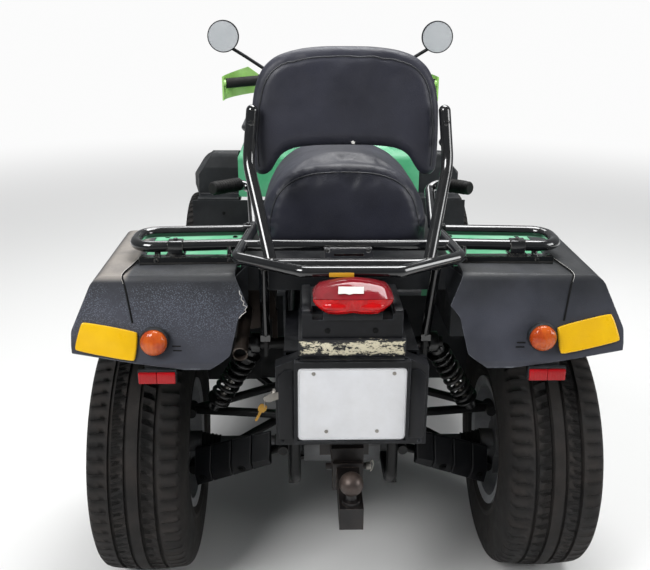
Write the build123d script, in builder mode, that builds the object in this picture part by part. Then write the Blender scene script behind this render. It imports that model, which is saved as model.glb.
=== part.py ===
from build123d import *
from math import cos, radians, sin
import os

os.makedirs("parts", exist_ok=True)

# Frame: X to the rider's right, Y forward, Z up, millimetres.
# The origin is on the ground, in the middle of the overall length and width.

# Overall
overall_length = 2340
front_end_y = overall_length / 2
rear_end_y = -overall_length / 2
rear_axle_y = -700
wheelbase = 1500
front_axle_y = rear_axle_y + wheelbase
gap = 0.3

# Wheels
tyre_radius = 317
rim_radius = 151
rim_wall = 6
rim_lip = 15
rear_tyre_width = 230
rear_wheel_x = 485
front_tyre_width = 200
front_wheel_x = 480

# Frame tubes
frame_tube = 14
cross_tube = 12
rail_x = 120
lower_rail_z = 250
upper_rail_z = 640
front_rail_z = 700
rail_rear_y = -830
rail_front_y = front_end_y - 90
rail_end_z = 440
rail_bend = 45
outrigger_z = 309
outrigger_reach = 500
top_cross_half = 234

# Rear suspension
lug_x = 138
arm_tube = 12
carrier_face_x = 400
rear_lug_ys = (-785, -615)
rear_lower_pivot_z = 345
rear_upper_pivot_z = 440
rear_lower_joint_z = 245
rear_upper_joint_z = 410

# Front suspension and steering
kingpin_x = 430
front_lug_ys = (760, 870)
front_lower_pivot_z = 290
front_upper_pivot_z = 440
knuckle_half_height = 84
steering_arm = 90
pitman_arm = 72
stem_tilt = 25
stem_foot = (0, 790, 410)
stem_tube = 12
handlebar_z = 1082
grip_end = (359, 353, 1130)

# Bodywork
skin = 4
deck_z = 862
deck_half_width = 457
deck_rear_y = -890
panel_in_x = 235
nose_y = front_end_y - 30
cover_half_width = 156
floor_z = outrigger_z + cross_tube + gap
seat_split_y = -332
fender_out_x = 587
fender_in_x = 214
fender_rear_y = -1020
fender_top_z = 868

# Rack and backrest
rack_tube = 12.7
rack_z = 900
rack_cross_y = -858
rack_rear_y = -1042
rack_side_x = 240
wing_end_x = 474
backrest_y = -790
backrest_top_z = 1325

# Tail box, door and hitch
box_half_width = 138
box_floor_z = 548
box_top_z = 742
box_rear_y = -1075
lamp_block_z = 830
box_front_y = rail_rear_y - frame_tube - 5 - gap
door_half_width = 155
door_depth = 36
hinge_x = 148
hinge_y = box_rear_y + 9
drawbar_side = 50
drawbar_z = 402.5
ball_radius = 25
ball_y = rear_end_y + 24
ball_z = 472

sides = {"left": -1, "right": 1}


def point_along(start, direction, distance):
    return Vector(*start) + Vector(*direction).normalized() * distance


# A straight round bar from start to end, added to the part being built.
def rod(start, end, radius, mode=Mode.ADD):
    run = Vector(*end) - Vector(*start)
    with BuildSketch(Plane(origin=start, z_dir=run)) as section:
        Circle(radius)
    extrude(section.sketch, amount=run.length, mode=mode)


# A bent tube through the points, with one bend radius at every corner.
def tube(points, radius, bend):
    with BuildLine() as path:
        FilletPolyline(*points, radius=bend)
    with BuildSketch(Plane(origin=path.line @ 0, z_dir=path.line % 0)) as section:
        Circle(radius)
    sweep(section.sketch, path=path.line)


# A box between two corners, added to or cut from the part being built.
def block(low, high, mode=Mode.ADD):
    middle = tuple((a + b) / 2 for a, b in zip(low, high))
    size = [abs(b - a) for a, b in zip(low, high)]
    with Locations(middle):
        Box(*size, mode=mode)


# A flat outline extruded from one plane to a depth along its normal.
def slab(plane, points, depth, mode=Mode.ADD):
    with BuildSketch(plane) as section:
        with BuildLine():
            closed_outline(points)
        make_face()
    extrude(section.sketch, amount=depth, mode=mode)


# A closed outline of (u, v) points. A third number rounds that corner by a radius.
def closed_outline(points):
    corners = [(*point, 0)[:3] for point in points]
    radii = [radius for _, _, radius in corners]
    FilletPolyline(*[(u, v) for u, v, _ in corners], radius=radii, close=True)


# The solid whose side, rear and top views are the outlines, each drawn in by its inset.
def form(side_view, rear_view, top_view=None, insets=(0, 0, 0)):
    with BuildPart() as shape:
        mode = Mode.ADD
        views = zip((Plane.YZ, Plane.XZ, Plane.XY), (side_view, rear_view, top_view), insets)
        for plane, points, inset in views:
            if points is None:
                continue
            with BuildSketch(plane) as view:
                with BuildLine():
                    closed_outline(points)
                make_face()
                if inset:
                    offset(amount=-inset, kind=Kind.INTERSECTION)
            extrude(view.sketch, amount=overall_length, both=True, mode=mode)
            mode = Mode.INTERSECT
    return shape.part


# Adds such a form as a skin that is open below.
def moulded_skin(side_view, rear_view, top_view=None):
    add(form(side_view, rear_view, top_view))
    cavity = form(side_view, rear_view, top_view, (skin, skin, skin))
    add(cavity, mode=Mode.SUBTRACT)
    add(Pos(0, 0, -2 * skin) * cavity, mode=Mode.SUBTRACT)


# The same outline on the other side of the middle line.
def mirrored(points):
    return [(-point[0], *point[1:]) for point in points]


def save(part, name):
    part.label = name
    export_step(part, f"parts/{name}.step")


# Frame: two side loops, cross tubes, suspension lugs, outriggers and a belly plate
with BuildPart() as frame:
    for side in sides.values():
        x = side * rail_x
        tube(
            [
                (x, rail_rear_y, upper_rail_z + frame_tube),
                (x, rail_rear_y, lower_rail_z + 50),
                (x, rail_rear_y + 50, lower_rail_z),
                (x, 960, lower_rail_z),
                (x, rail_front_y, 400),
                (x, rail_front_y, front_rail_z + frame_tube),
            ],
            frame_tube,
            rail_bend,
        )
        tube(
            [
                (x, rail_front_y, front_rail_z),
                (x, 330, front_rail_z),
                (x, 150, upper_rail_z),
                (x, rail_rear_y, upper_rail_z),
            ],
            frame_tube - 0.5,
            rail_bend,
        )
        rod((x, front_lug_ys[0], lower_rail_z), (x, front_lug_ys[0], front_rail_z), cross_tube)
        for y in rear_lug_ys:
            block((side * 122, y - 15, lower_rail_z), (side * lug_x, y + 15, rear_upper_pivot_z + 16))
        for y in front_lug_ys:
            block((side * 118, y - 15, lower_rail_z), (side * lug_x, y + 15, front_upper_pivot_z + 16))
        for y in (-250, 300):
            tube(
                [
                    (side * rail_x, y, lower_rail_z),
                    (side * 200, y, lower_rail_z),
                    (side * 265, y, outrigger_z),
                    (side * outrigger_reach, y, outrigger_z),
                ],
                cross_tube,
                30,
            )
        block((side * 181, -862, 632), (side * 189, -800, 668))
    for y, z in (
        (rail_rear_y, rail_end_z),
        (-640, lower_rail_z),
        (-120, lower_rail_z),
        (420, lower_rail_z),
        (front_axle_y + 23, lower_rail_z),
        (960, lower_rail_z),
        (rail_front_y, 430),
        (rail_front_y, front_rail_z),
        (330, front_rail_z),
        (-300, upper_rail_z),
        (stem_foot[1], stem_foot[2]),
    ):
        rod((-rail_x, y, z), (rail_x, y, z), cross_tube)
    rod((-top_cross_half, -800, upper_rail_z), (top_cross_half, -800, upper_rail_z), frame_tube)
    rod((-205, 850, front_rail_z), (205, 850, front_rail_z), frame_tube)
    block(
        (-box_half_width, rail_rear_y - frame_tube - 5, 590),
        (box_half_width, rail_rear_y - 5, upper_rail_z + 30),
    )
    block((-rail_x - 10, -655, lower_rail_z - 19), (rail_x + 10, 975, lower_rail_z - 10))
    stem_axis = (0, -sin(radians(stem_tilt)), cos(radians(stem_tilt)))
    rod(stem_foot, point_along(stem_foot, stem_axis, 22), 20)
save(frame.part, "frame")

# Powertrain: a plain block for the engine, and the two gearcases at axle height
rear_case_half = 98
front_case_half = 75
with BuildPart() as powertrain:
    rest_z = lower_rail_z + frame_tube + gap
    block((-130, -320, rest_z), (130, 240, 600))
    with Locations((0, front_axle_y, tyre_radius)):
        Cylinder(52, 2 * front_case_half, rotation=(0, 90, 0))
    foot_z = lower_rail_z + cross_tube + gap
    block((-70, front_axle_y + 6, foot_z), (70, front_axle_y + 40, 300))
    with Locations((0, rear_axle_y, tyre_radius)):
        Cylinder(54, 2 * rear_case_half, rotation=(0, 90, 0))
    block((-60, -665, foot_z), (60, -615, 330))
save(powertrain.part, "powertrain")

# Drive shafts: joints and boots on a shaft, turned about the axle's own line.
# Each row is a distance out from the middle and a radius there.
rear_shaft_steps = (
    (rear_case_half + gap, 30),
    (130, 30),
    (172, 17),
    (178, 13),
    (318, 13),
    (324, 17),
    (366, 28),
    (carrier_face_x - gap, 28),
)
front_shaft_steps = (
    (front_case_half + gap, 26),
    (104, 26),
    (140, 15),
    (146, 12),
    (370, 12),
    (376, 15),
    (kingpin_x - 16, 21),
    (kingpin_x + 6, 21),
    (kingpin_x + 16, 14),
)
with BuildPart() as drive_shafts:
    for side in sides.values():
        for axle_y, steps in (
            (rear_axle_y, rear_shaft_steps),
            (front_axle_y, front_shaft_steps),
        ):
            outline = [(side * x, radius) for x, radius in steps]
            through_axle = Plane(origin=(0, axle_y, tyre_radius), x_dir=(1, 0, 0), z_dir=(0, -1, 0))
            with BuildSketch(through_axle) as shaft:
                with BuildLine():
                    Polyline((outline[0][0], 0), *outline, (outline[-1][0], 0), close=True)
                make_face()
            revolve(shaft.sketch, axis=Axis((0, axle_y, tyre_radius), (1, 0, 0)))
save(drive_shafts.part, "drive_shafts")

# Suspension arms: an upper and a lower A-arm at each wheel
with BuildPart() as suspension_arms:
    for side in sides.values():
        pivot_x = side * (lug_x + gap + arm_tube)
        joint_x = side * (carrier_face_x - gap - 13)
        for pivot_z, joint_z in (
            (rear_lower_pivot_z, rear_lower_joint_z),
            (rear_upper_pivot_z, rear_upper_joint_z),
        ):
            joint = (joint_x, rear_axle_y, joint_z)
            rod((joint_x, rear_axle_y - 25, joint_z), (joint_x, rear_axle_y + 25, joint_z), 13)
            for y in rear_lug_ys:
                rod((pivot_x, y - 18, pivot_z), (pivot_x, y + 18, pivot_z), arm_tube)
                rod((pivot_x, y, pivot_z), joint, arm_tube - 1)
        for pivot_z, level in ((front_lower_pivot_z, -1), (front_upper_pivot_z, 1)):
            near_z = tyre_radius + level * (knuckle_half_height + 0.5)
            far_z = near_z + level * 26
            joint = (side * kingpin_x, front_axle_y, near_z + level * 16)
            rod((side * kingpin_x, front_axle_y, near_z), (side * kingpin_x, front_axle_y, far_z), 16)
            for y in front_lug_ys:
                rod((pivot_x, y - 18, pivot_z), (pivot_x, y + 18, pivot_z), arm_tube)
                rod((pivot_x, y, pivot_z), joint, arm_tube - 2)
save(suspension_arms.part, "suspension_arms")

# Arm guards: moulded strips behind the rear lower arms, deeper towards the wheel
with BuildPart() as arm_guards:
    for side in sides.values():
        inner = Vector(side * (lug_x + gap + arm_tube), rear_lug_ys[0], rear_lower_pivot_z)
        outer = Vector(side * (carrier_face_x - 14), rear_axle_y, rear_lower_joint_z)
        run = outer - inner
        sections = []
        for share, above, below in ((0.08, 58, 24), (0.93, 62, 46)):
            station = inner + run * share
            plane = Plane(origin=station, x_dir=(0, 0, 1), z_dir=(run.X, run.Y, 0))
            outward = side
            with BuildSketch(plane) as guard_section:
                with BuildLine():
                    Polyline(
                        (above, outward * 24),
                        (above, outward * 34),
                        (-4, outward * 44),
                        (-below, outward * 32),
                        (-below, outward * 24),
                        close=True,
                    )
                make_face()
            sections.append(guard_section.sketch)
        loft(sections)
        for share in (0.3, 0.7):
            middle = inner + run * share
            rod(middle - run.normalized() * 12, middle + run.normalized() * 12, arm_tube + 4)
            rod(middle, middle + Vector(run.Y * outward, -run.X * outward, 0).normalized() * 30, 8)
    add(suspension_arms.part, mode=Mode.SUBTRACT)
save(arm_guards.part, "arm_guards")

# Rear wheel carriers: a web with a bearing housing, bored for the wheel's stub axle
with BuildPart() as rear_carriers:
    for side in sides.values():
        block(
            (side * carrier_face_x, rear_axle_y - 27, rear_lower_joint_z - 16),
            (side * (carrier_face_x + 20), rear_axle_y + 27, rear_upper_joint_z + 16),
        )
        rod(
            (side * carrier_face_x, rear_axle_y, tyre_radius),
            (side * 440, rear_axle_y, tyre_radius),
            48,
        )
        rod(
            (side * (carrier_face_x + 4), rear_axle_y, tyre_radius),
            (side * 441, rear_axle_y, tyre_radius),
            20 + gap,
            mode=Mode.SUBTRACT,
        )
save(rear_carriers.part, "rear_carriers")

# Dampers: an eye round the cross tube, a body with its spring, and a rod down to the arm
damper_ends = (
    ((212, -800, upper_rail_z), (330, -752, 436)),
    ((190, 850, front_rail_z), (318, 838, 316)),
)
with BuildPart() as dampers:
    for side in sides.values():
        for (top_x, top_y, top_z), (foot_x, foot_y, foot_z) in damper_ends:
            top = Vector(side * top_x, top_y, top_z)
            foot = Vector(side * foot_x, foot_y, foot_z)
            run = foot - top
            rod(top + run * 0.3, foot, 9)
            rod(top + run * 0.06, top + run * 0.5, 19)
            rod(top + run * 0.14, top + run * 0.17, 30)
            rod(top + run * 0.8, top + run * 0.83, 30)
            turns = 6
            for turn in range(turns):
                share = 0.2 + 0.56 * turn / (turns - 1)
                rod(top + run * (share - 0.022), top + run * (share + 0.022), 27)
            with Locations(top):
                Cylinder(26, 22, rotation=(0, 90, 0))
    for side in sides.values():
        for (top_x, top_y, top_z), foot in damper_ends:
            with Locations((side * top_x, top_y, top_z)):
                Cylinder(frame_tube + gap, 60, rotation=(0, 90, 0), mode=Mode.SUBTRACT)
    add(suspension_arms.part, mode=Mode.SUBTRACT)
save(dampers.part, "dampers")


# A wheel's section is drawn in its own plane: along the axle, and out from it.
def wheel_plane(wheel_x, axle_y):
    return Plane(origin=(wheel_x, axle_y, tyre_radius), x_dir=(1, 0, 0), z_dir=(0, -1, 0))


def make_tyre(wheel_x, axle_y, width):
    half = width / 2
    bead = half - 20
    seat = rim_radius + gap
    lip = rim_radius + rim_lip + 1
    with BuildPart() as tyre:
        with BuildSketch(wheel_plane(wheel_x, axle_y)) as section:
            with BuildLine():
                Line((-bead, seat), (bead, seat))
                Line((bead, seat), (bead + 4, lip))
                ThreePointArc((bead + 4, lip), (half, 228), (half - 6, 285))
                ThreePointArc((half - 6, 285), (half - 12, 302), (half - 26, 311))
                ThreePointArc((half - 26, 311), (0, tyre_radius), (26 - half, 311))
                ThreePointArc((26 - half, 311), (12 - half, 302), (6 - half, 285))
                ThreePointArc((6 - half, 285), (-half, 228), (-bead - 4, lip))
                Line((-bead - 4, lip), (-bead, seat))
            make_face()
        revolve(section.sketch, axis=Axis((0, axle_y, tyre_radius), (1, 0, 0)))
    return tyre.part


def make_rim(wheel_x, axle_y, width, face_x, hub_x, stub_x, stub_radius):
    half = width / 2 - 10
    side = 1 if wheel_x > 0 else -1
    lip = rim_radius + rim_lip
    inner = rim_radius - rim_wall
    axle = Axis((0, axle_y, tyre_radius), (1, 0, 0))
    with BuildPart() as rim:
        with BuildSketch(wheel_plane(wheel_x, axle_y)) as barrel:
            with BuildLine():
                Polyline(
                    (-half, lip),
                    (5 - half, lip),
                    (10 - half, rim_radius),
                    (half - 10, rim_radius),
                    (half - 5, lip),
                    (half, lip),
                    (half - 4, inner),
                    (4 - half, inner),
                    close=True,
                )
            make_face()
        revolve(barrel.sketch, axis=axle)
        with BuildSketch(wheel_plane(0, axle_y)) as disc:
            with BuildLine():
                Polyline(
                    (side * hub_x, 0),
                    (side * hub_x, 58),
                    (side * (face_x - 4), 64),
                    (side * face_x, inner + 2),
                    (side * (face_x + 7), inner + 2),
                    (side * (face_x + 6), 70),
                    (side * (face_x + 16), 40),
                    (side * (face_x + 16), 0),
                    close=True,
                )
            make_face()
        revolve(disc.sketch, axis=axle)
        rod((side * stub_x, axle_y, tyre_radius), (side * (hub_x + 1), axle_y, tyre_radius), stub_radius)
        with BuildSketch(Plane.YZ.offset(side * (face_x - 12))) as windows:
            with Locations((axle_y, tyre_radius)):
                with PolarLocations(104, 8):
                    Circle(17)
        extrude(windows.sketch, amount=side * 30, mode=Mode.SUBTRACT)
    return rim.part


# Wheels: rear stubs run in the carriers, front stubs in the knuckles
for tag, side in sides.items():
    save(make_tyre(side * rear_wheel_x, rear_axle_y, rear_tyre_width), f"tyre_rear_{tag}")
    save(make_tyre(side * front_wheel_x, front_axle_y, front_tyre_width), f"tyre_front_{tag}")
    save(
        make_rim(side * rear_wheel_x, rear_axle_y, rear_tyre_width, 500, 440 + gap, 406, 20),
        f"rim_rear_{tag}",
    )
    save(
        make_rim(side * front_wheel_x, front_axle_y, front_tyre_width, 505, 492 + gap, 458, 16),
        f"rim_front_{tag}",
    )

# Knuckles: a C round the drive joint, bored for the stub axle, with an arm to the rear
for tag, side in sides.items():
    with BuildPart() as knuckle:
        low_z = tyre_radius - knuckle_half_height
        high_z = tyre_radius + knuckle_half_height
        block((side * 458, front_axle_y - 24, low_z), (side * 478, front_axle_y + 24, high_z))
        for plate_z in (low_z, high_z - 14):
            block(
                (side * kingpin_x, front_axle_y - 18, plate_z),
                (side * 460, front_axle_y + 18, plate_z + 14),
            )
            rod(
                (side * kingpin_x, front_axle_y, plate_z),
                (side * kingpin_x, front_axle_y, plate_z + 14),
                18,
            )
        rod((side * 458, front_axle_y, tyre_radius), (side * 492, front_axle_y, tyre_radius), 42)
        rod(
            (side * 456.5, front_axle_y, tyre_radius),
            (side * 493, front_axle_y, tyre_radius),
            16 + gap,
            mode=Mode.SUBTRACT,
        )
        slab(
            Plane.XY.offset(tyre_radius + 4),
            [
                (side * 458, front_axle_y - 20),
                (side * 476, front_axle_y - 24),
                (side * 444, front_axle_y - steering_arm - 4),
                (side * 430, front_axle_y - steering_arm - 13),
                (side * 417, front_axle_y - steering_arm - 4),
                (side * 420, front_axle_y - steering_arm + 8),
            ],
            14,
        )
    save(knuckle.part, f"knuckle_{tag}")

# Steering stem with its pitman arm and the handlebar clamp
stem_top_run = (handlebar_z - stem_foot[2]) / cos(radians(stem_tilt))
pitman_dir = (0, -cos(radians(stem_tilt)), -sin(radians(stem_tilt)))
stem_top = point_along(stem_foot, stem_axis, stem_top_run)
pitman_mid = point_along(stem_foot, stem_axis, 35)
pitman_pin = point_along(pitman_mid, pitman_dir, pitman_arm)
with BuildPart() as steering_stem:
    rod(point_along(stem_foot, stem_axis, 22.5), point_along(stem_top, stem_axis, -15), stem_tube)
    plate = Plane(origin=point_along(stem_foot, stem_axis, 30), x_dir=(1, 0, 0), z_dir=stem_axis)
    with BuildSketch(plate) as pitman:
        SlotCenterToCenter(pitman_arm, 32, rotation=90)
    pitman_blank = Pos(*(Vector(*pitman_dir) * (pitman_arm / 2))) * pitman.sketch
    extrude(pitman_blank, amount=10)
    with Locations(Plane(origin=point_along(stem_top, stem_axis, -14), x_dir=(1, 0, 0), z_dir=stem_axis)):
        Box(90, 40, 24)
    rod((-60, stem_top.Y, stem_top.Z), (60, stem_top.Y, stem_top.Z), 11 + gap, mode=Mode.SUBTRACT)
save(steering_stem.part, "steering_stem")

# Tie rods: the left one's eye is above the pitman arm and the right one's below
for tag, side in sides.items():
    with BuildPart() as tie_rod:
        eye = point_along(pitman_pin, stem_axis, -side * 17)
        end = Vector(side * kingpin_x, front_axle_y - steering_arm, tyre_radius + 18 + 8.5)
        rod(point_along(pitman_pin, stem_axis, -side * 5.5), point_along(eye, stem_axis, -side * 7), 13)
        rod(eye, end, 7)
        rod(end - Vector(0, 0, 8), end + Vector(0, 0, 8), 12)
    save(tie_rod.part, f"tie_rod_{tag}")

# Handlebar, swept back and up to the grips
bar_points = (
    (-grip_end[0], *grip_end[1:]),
    (-230, 395, 1138),
    (-95, stem_top.Y, handlebar_z),
    (95, stem_top.Y, handlebar_z),
    (230, 395, 1138),
    grip_end,
)
with BuildPart() as handlebar:
    tube(bar_points, 11, 35)
save(handlebar.part, "handlebar")

# Grips: rubber sleeves over the handlebar's ends
with BuildPart() as grips:
    for side in sides.values():
        end = Vector(side * grip_end[0], *grip_end[1:])
        inward = (Vector(side * 230, 395, 1138) - end).normalized()
        rod(end - inward * 8, end + inward * 118, 17)
    add(handlebar.part, mode=Mode.SUBTRACT)
save(grips.part, "grips")

# Handguards: curved shields in front of the grips, pointed at the top and deep at the ends
with BuildPart() as handguards:
    for side in sides.values():
        with BuildSketch(Plane.XY.offset(1060)) as shield:
            with BuildLine():
                ThreePointArc((side * 380, 338), (side * 348, 430), (side * 236, 462))
                Line((side * 236, 462), (side * 236, 456))
                ThreePointArc((side * 236, 456), (side * 344, 425), (side * 374, 338))
                Line((side * 374, 338), (side * 380, 338))
            make_face()
        extrude(shield.sketch, amount=120)
        rod((side * 368, 350, 1130), (side * 376, 348, 1130), 12)
    with BuildSketch(Plane.XZ.offset(-500)) as shield_outline:
        for side in sides.values():
            with BuildLine():
                Polyline(
                    (side * 390, 1070),
                    (side * 300, 1082),
                    (side * 226, 1092),
                    (side * 226, 1128),
                    (side * 296, 1178),
                    (side * 390, 1150),
                    close=True,
                )
            make_face()
    extrude(shield_outline.sketch, amount=300, mode=Mode.INTERSECT)
    add(grips.part, mode=Mode.SUBTRACT)
    add(handlebar.part, mode=Mode.SUBTRACT)
save(handguards.part, "handguards")

# Mirrors on their arms
with BuildPart() as mirrors:
    for side in sides.values():
        rod((side * 376, 392, 1286), (side * 376, 404, 1286), 55)
        rod((side * 376, 404, 1286), (side * 376, 420, 1286), 40)
        tube([(side * 376, 412, 1262), (side * 300, 420, 1215), (side * 214, 420, 1160)], 6, 30)
        rod((side * 214, 420, 1160), (side * 206, 408, 1141), 9)
    add(handlebar.part, mode=Mode.SUBTRACT)
save(mirrors.part, "mirrors")

# Instrument pod ahead of the handlebar clamp
with BuildPart() as instrument_pod:
    with BuildSketch(Plane.XY.offset(handlebar_z + 11 + gap)) as pod:
        with Locations((0, 500)):
            RectangleRounded(170, 110, 30)
    extrude(pod.sketch, amount=55, taper=12)
save(instrument_pod.part, "instrument_pod")

# Centre cover: the seat base with its side panels, rising to the tank cover and fuel cap
cover_side = [
    (seat_split_y, 690, 15),
    (seat_split_y, 756),
    (136, 756, 40),
    (205, 885, 70),
    (300, 925, 90),
    (470, 900),
    (470, 600, 20),
    (400, 560, 40),
    (290, 600, 90),
    (180, 690, 120),
    (-120, 640, 160),
]
cover_rear = [
    (-cover_half_width, 550),
    (-cover_half_width, 780, 60),
    (-118, 925, 40),
    (118, 925, 40),
    (cover_half_width, 780, 60),
    (cover_half_width, 550),
]
with BuildPart() as centre_cover:
    add(form(cover_side, cover_rear))
    hollow_side = [
        (seat_split_y - 1, 540),
        (seat_split_y - 1, 756 - skin),
        (138, 756 - skin, 40),
        (207, 880, 70),
        (300, 920, 90),
        (471, 895),
        (471, 540),
    ]
    add(form(hollow_side, cover_rear, insets=(0, skin, 0)), mode=Mode.SUBTRACT)
    with Locations((0, 262, 900)):
        Cylinder(44, 120, mode=Mode.SUBTRACT)
save(centre_cover.part, "centre_cover")

# Fuel cap: a ribbed knob in the tank cover
with BuildPart() as fuel_cap:
    with Locations((0, 262, 905)):
        Cylinder(44 - gap, 40)
    with Locations((0, 262, 932)):
        Cylinder(37, 22)
        with PolarLocations(37, 12):
            Cylinder(4, 22)
save(fuel_cap.part, "fuel_cap")

# Tunnel covers: lower side panels beside the engine, with cooling slots
tunnel_half = cover_half_width - skin - gap
with BuildPart() as tunnel_covers:
    for side in sides.values():
        slab(
            Plane.YZ.offset(side * (tunnel_half - skin)),
            [
                (-342, floor_z, 10),
                (-330, 735, 30),
                (440, 735, 30),
                (440, floor_z, 10),
            ],
            side * skin,
        )
        slot_plane = Plane.YZ.offset(side * (tunnel_half - 2 * skin))
        with BuildSketch(slot_plane) as slots:
            for row in range(5):
                with Locations((-20 + 12 * row, 420 + 34 * row)):
                    SlotOverall(170, 16)
        extrude(slots.sketch, amount=side * 3 * skin, mode=Mode.SUBTRACT)
        for y in (-300, 60):
            rail_face = rail_x + frame_tube + gap
            block((side * rail_face, y - 12, 630), (side * (tunnel_half - 1), y + 12, 650))
save(tunnel_covers.part, "tunnel_covers")

# Footwells: floor with foot ribs and a lip, a passenger step, and mud walls at both ends
footwell_out_x = 516
with BuildPart() as footwells:
    for side in sides.values():
        start_x = cover_half_width + gap
        width = footwell_out_x - start_x
        profile = [
            (-424, 620),
            (-356, 455, 20),
            (-342, floor_z, 12),
            (428, floor_z, 30),
            (434, 690),
            (434 - skin, 690),
            (428 - skin, floor_z + skin, 26),
            (-342 + skin, floor_z + skin, 8),
            (-356 + skin, 455, 20),
            (-424 + skin, 620),
        ]
        slab(Plane.YZ.offset(side * start_x), profile, side * width)
        step = [
            (-345, floor_z + 1),
            (-352, 430),
            (-210, 420, 30),
            (-170, floor_z + 1),
        ]
        slab(Plane.YZ.offset(side * (start_x + 70)), step, side * (width - 76))
        for row in range(7):
            y = -130 + 55 * row
            block(
                (side * 330, y, floor_z + 2),
                (side * 480, y + 16, floor_z + skin + 10),
            )
        block(
            (side * (footwell_out_x - skin), -342, floor_z),
            (side * footwell_out_x, 428, floor_z + 26),
        )
save(footwells.part, "footwells")

# Front body: the hood and its nose in one skin, open below, with a grille under the lamps
hood_half = 345
hood_side = [
    (486, 690),
    (486, 840, 25),
    (530, 890, 60),
    (nose_y - 160, 890, 200),
    (nose_y - 44, 850, 70),
    (nose_y, 770, 40),
    (nose_y - 12, 690),
]
hood_rear = [
    (-hood_half, 690),
    (-hood_half, 868, 30),
    (-250, 862, 60),
    (-200, 890, 40),
    (200, 890, 40),
    (250, 862, 60),
    (hood_half, 868, 30),
    (hood_half, 690),
]
hood_top = [
    (-hood_half, 480),
    (-hood_half, nose_y - 100, 90),
    (-200, nose_y + 10, 120),
    (200, nose_y + 10, 120),
    (hood_half, nose_y - 100, 90),
    (hood_half, 480),
]
nose_half = 190
grille_bars = 5
with BuildPart() as front_body:
    moulded_skin(hood_side, hood_rear, hood_top)
    nose = [
        (-nose_half, 700),
        (-nose_half, 640, 50),
        (-120, 556, 30),
        (120, 556, 30),
        (nose_half, 640, 50),
        (nose_half, 700),
    ]
    slab(Plane.XZ.offset(8 - nose_y), nose, 20)
    with BuildSketch(Plane.XZ.offset(-nose_y)) as grille:
        for row in range(grille_bars):
            with Locations((0, 590 + 20 * row)):
                SlotOverall(190 + 26 * row, 11)
    extrude(grille.sketch, amount=40, mode=Mode.SUBTRACT)
    stem_hole_top = point_along(stem_foot, stem_axis, 620)
    rod(point_along(stem_foot, stem_axis, 250), stem_hole_top, stem_tube + 8, mode=Mode.SUBTRACT)
    for side in sides.values():
        block((side * 100, 470, 680), (side * 140, 500, 722), mode=Mode.SUBTRACT)
    lamp_outline = [
        (62, 704, 12),
        (62, 752, 12),
        (130, 778, 20),
        (196, 764, 20),
        (186, 722, 20),
        (150, 704, 20),
    ]
    for points in (lamp_outline, mirrored(lamp_outline)):
        slab(Plane.XZ.offset(-nose_y - 20), points, 90, mode=Mode.SUBTRACT)
save(front_body.part, "front_body")

# Headlights: lenses set into the nose, following its slope and its rounded corners
with BuildPart() as headlights:
    for points in (lamp_outline, mirrored(lamp_outline)):
        add(form(hood_side, points, hood_top, (-1, gap, -1)))
    add(form(hood_side, hood_rear, hood_top, (18, 0, 18)), mode=Mode.SUBTRACT)
    block((-hood_half, nose_y - 40, 650), (hood_half, front_end_y, 850), mode=Mode.INTERSECT)
save(headlights.part, "headlights")

# Front fenders: black flares over the wheels, with a wall and a shelf behind them
arch_radius = 385
flare_side = [
    (430, 690 + gap),
    (430, 698 + gap, 3),
    (492, 700 + gap, 6),
    (500, 800, 40),
    (516, 862, 26),
    (960, 784, 200),
    (1070, 735, 50),
    (1104, 684, 12),
    (1092, 655, 10),
    (560, 655, 10),
    (540, 690 + gap),
]
flare_rear = [
    (hood_half + gap, 600),
    (hood_half + gap, 868, 4),
    (440, 860, 44),
    (494, 776, 44),
    (540, 742, 40),
    (540, 600),
]
flare_top = [
    (hood_half + gap, 420),
    (496, 420),
    (496, 560, 80),
    (540, 720, 120),
    (540, 960, 150),
    (490, 1080, 60),
    (hood_half + gap, 1106),
]
with BuildPart() as front_fenders:
    for mirror_outline in (list, mirrored):
        moulded_skin(flare_side, mirror_outline(flare_rear), mirror_outline(flare_top))
    with Locations((0, front_axle_y, tyre_radius)):
        Cylinder(arch_radius, 2 * overall_length, rotation=(0, 90, 0), mode=Mode.SUBTRACT)
save(front_fenders.part, "front_fenders")


# A padded saddle: a domed section carried along the seat, with rounded ends
def saddle(rear_y, front_y, base_z, top_z, half_width, edge):
    with BuildPart() as pad:
        with BuildSketch(Plane.XZ.offset(-front_y)) as section:
            with BuildLine():
                Line((-half_width, base_z), (half_width, base_z))
                ThreePointArc(
                    (half_width, base_z),
                    (half_width * 0.84, base_z + (top_z - base_z) * 0.62),
                    (half_width * 0.4, top_z - 6),
                )
                ThreePointArc(
                    (half_width * 0.4, top_z - 6), (0, top_z), (-half_width * 0.4, top_z - 6)
                )
                ThreePointArc(
                    (-half_width * 0.4, top_z - 6),
                    (-half_width * 0.84, base_z + (top_z - base_z) * 0.62),
                    (-half_width, base_z),
                )
            make_face()
        extrude(section.sketch, amount=front_y - rear_y)
        rims = pad.edges().filter_by_position(Axis.Y, rear_y - 1, rear_y + 1)
        fillet(rims.filter_by(lambda e: e.center().Z > base_z + 1), edge)
    return pad.part


# Seats: the driver's saddle, and the passenger's a step higher
save(saddle(seat_split_y + 2, 105, 756 + gap, 900, 160, 20), "seat")
save(saddle(-725, -345, deck_z + gap, 1050, 186, 22), "passenger_seat")

# Rear body: a bent green panel inside each fender, sloping down ahead of the rack
panel_side = [
    (deck_rear_y, 806),
    (deck_rear_y, deck_z),
    (-600, deck_z, 60),
    (-448, 736, 50),
    (-428, 622),
    (-432, 622),
    (-452, 734, 46),
    (-601.5, deck_z - skin, 56),
    (deck_rear_y + skin, deck_z - skin),
    (deck_rear_y + skin, 806),
]
with BuildPart() as rear_body:
    for side in sides.values():
        inner_x = panel_in_x + gap
        slab(Plane.YZ.offset(side * inner_x), panel_side, side * (deck_half_width - inner_x))
save(rear_body.part, "rear_body")

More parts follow.
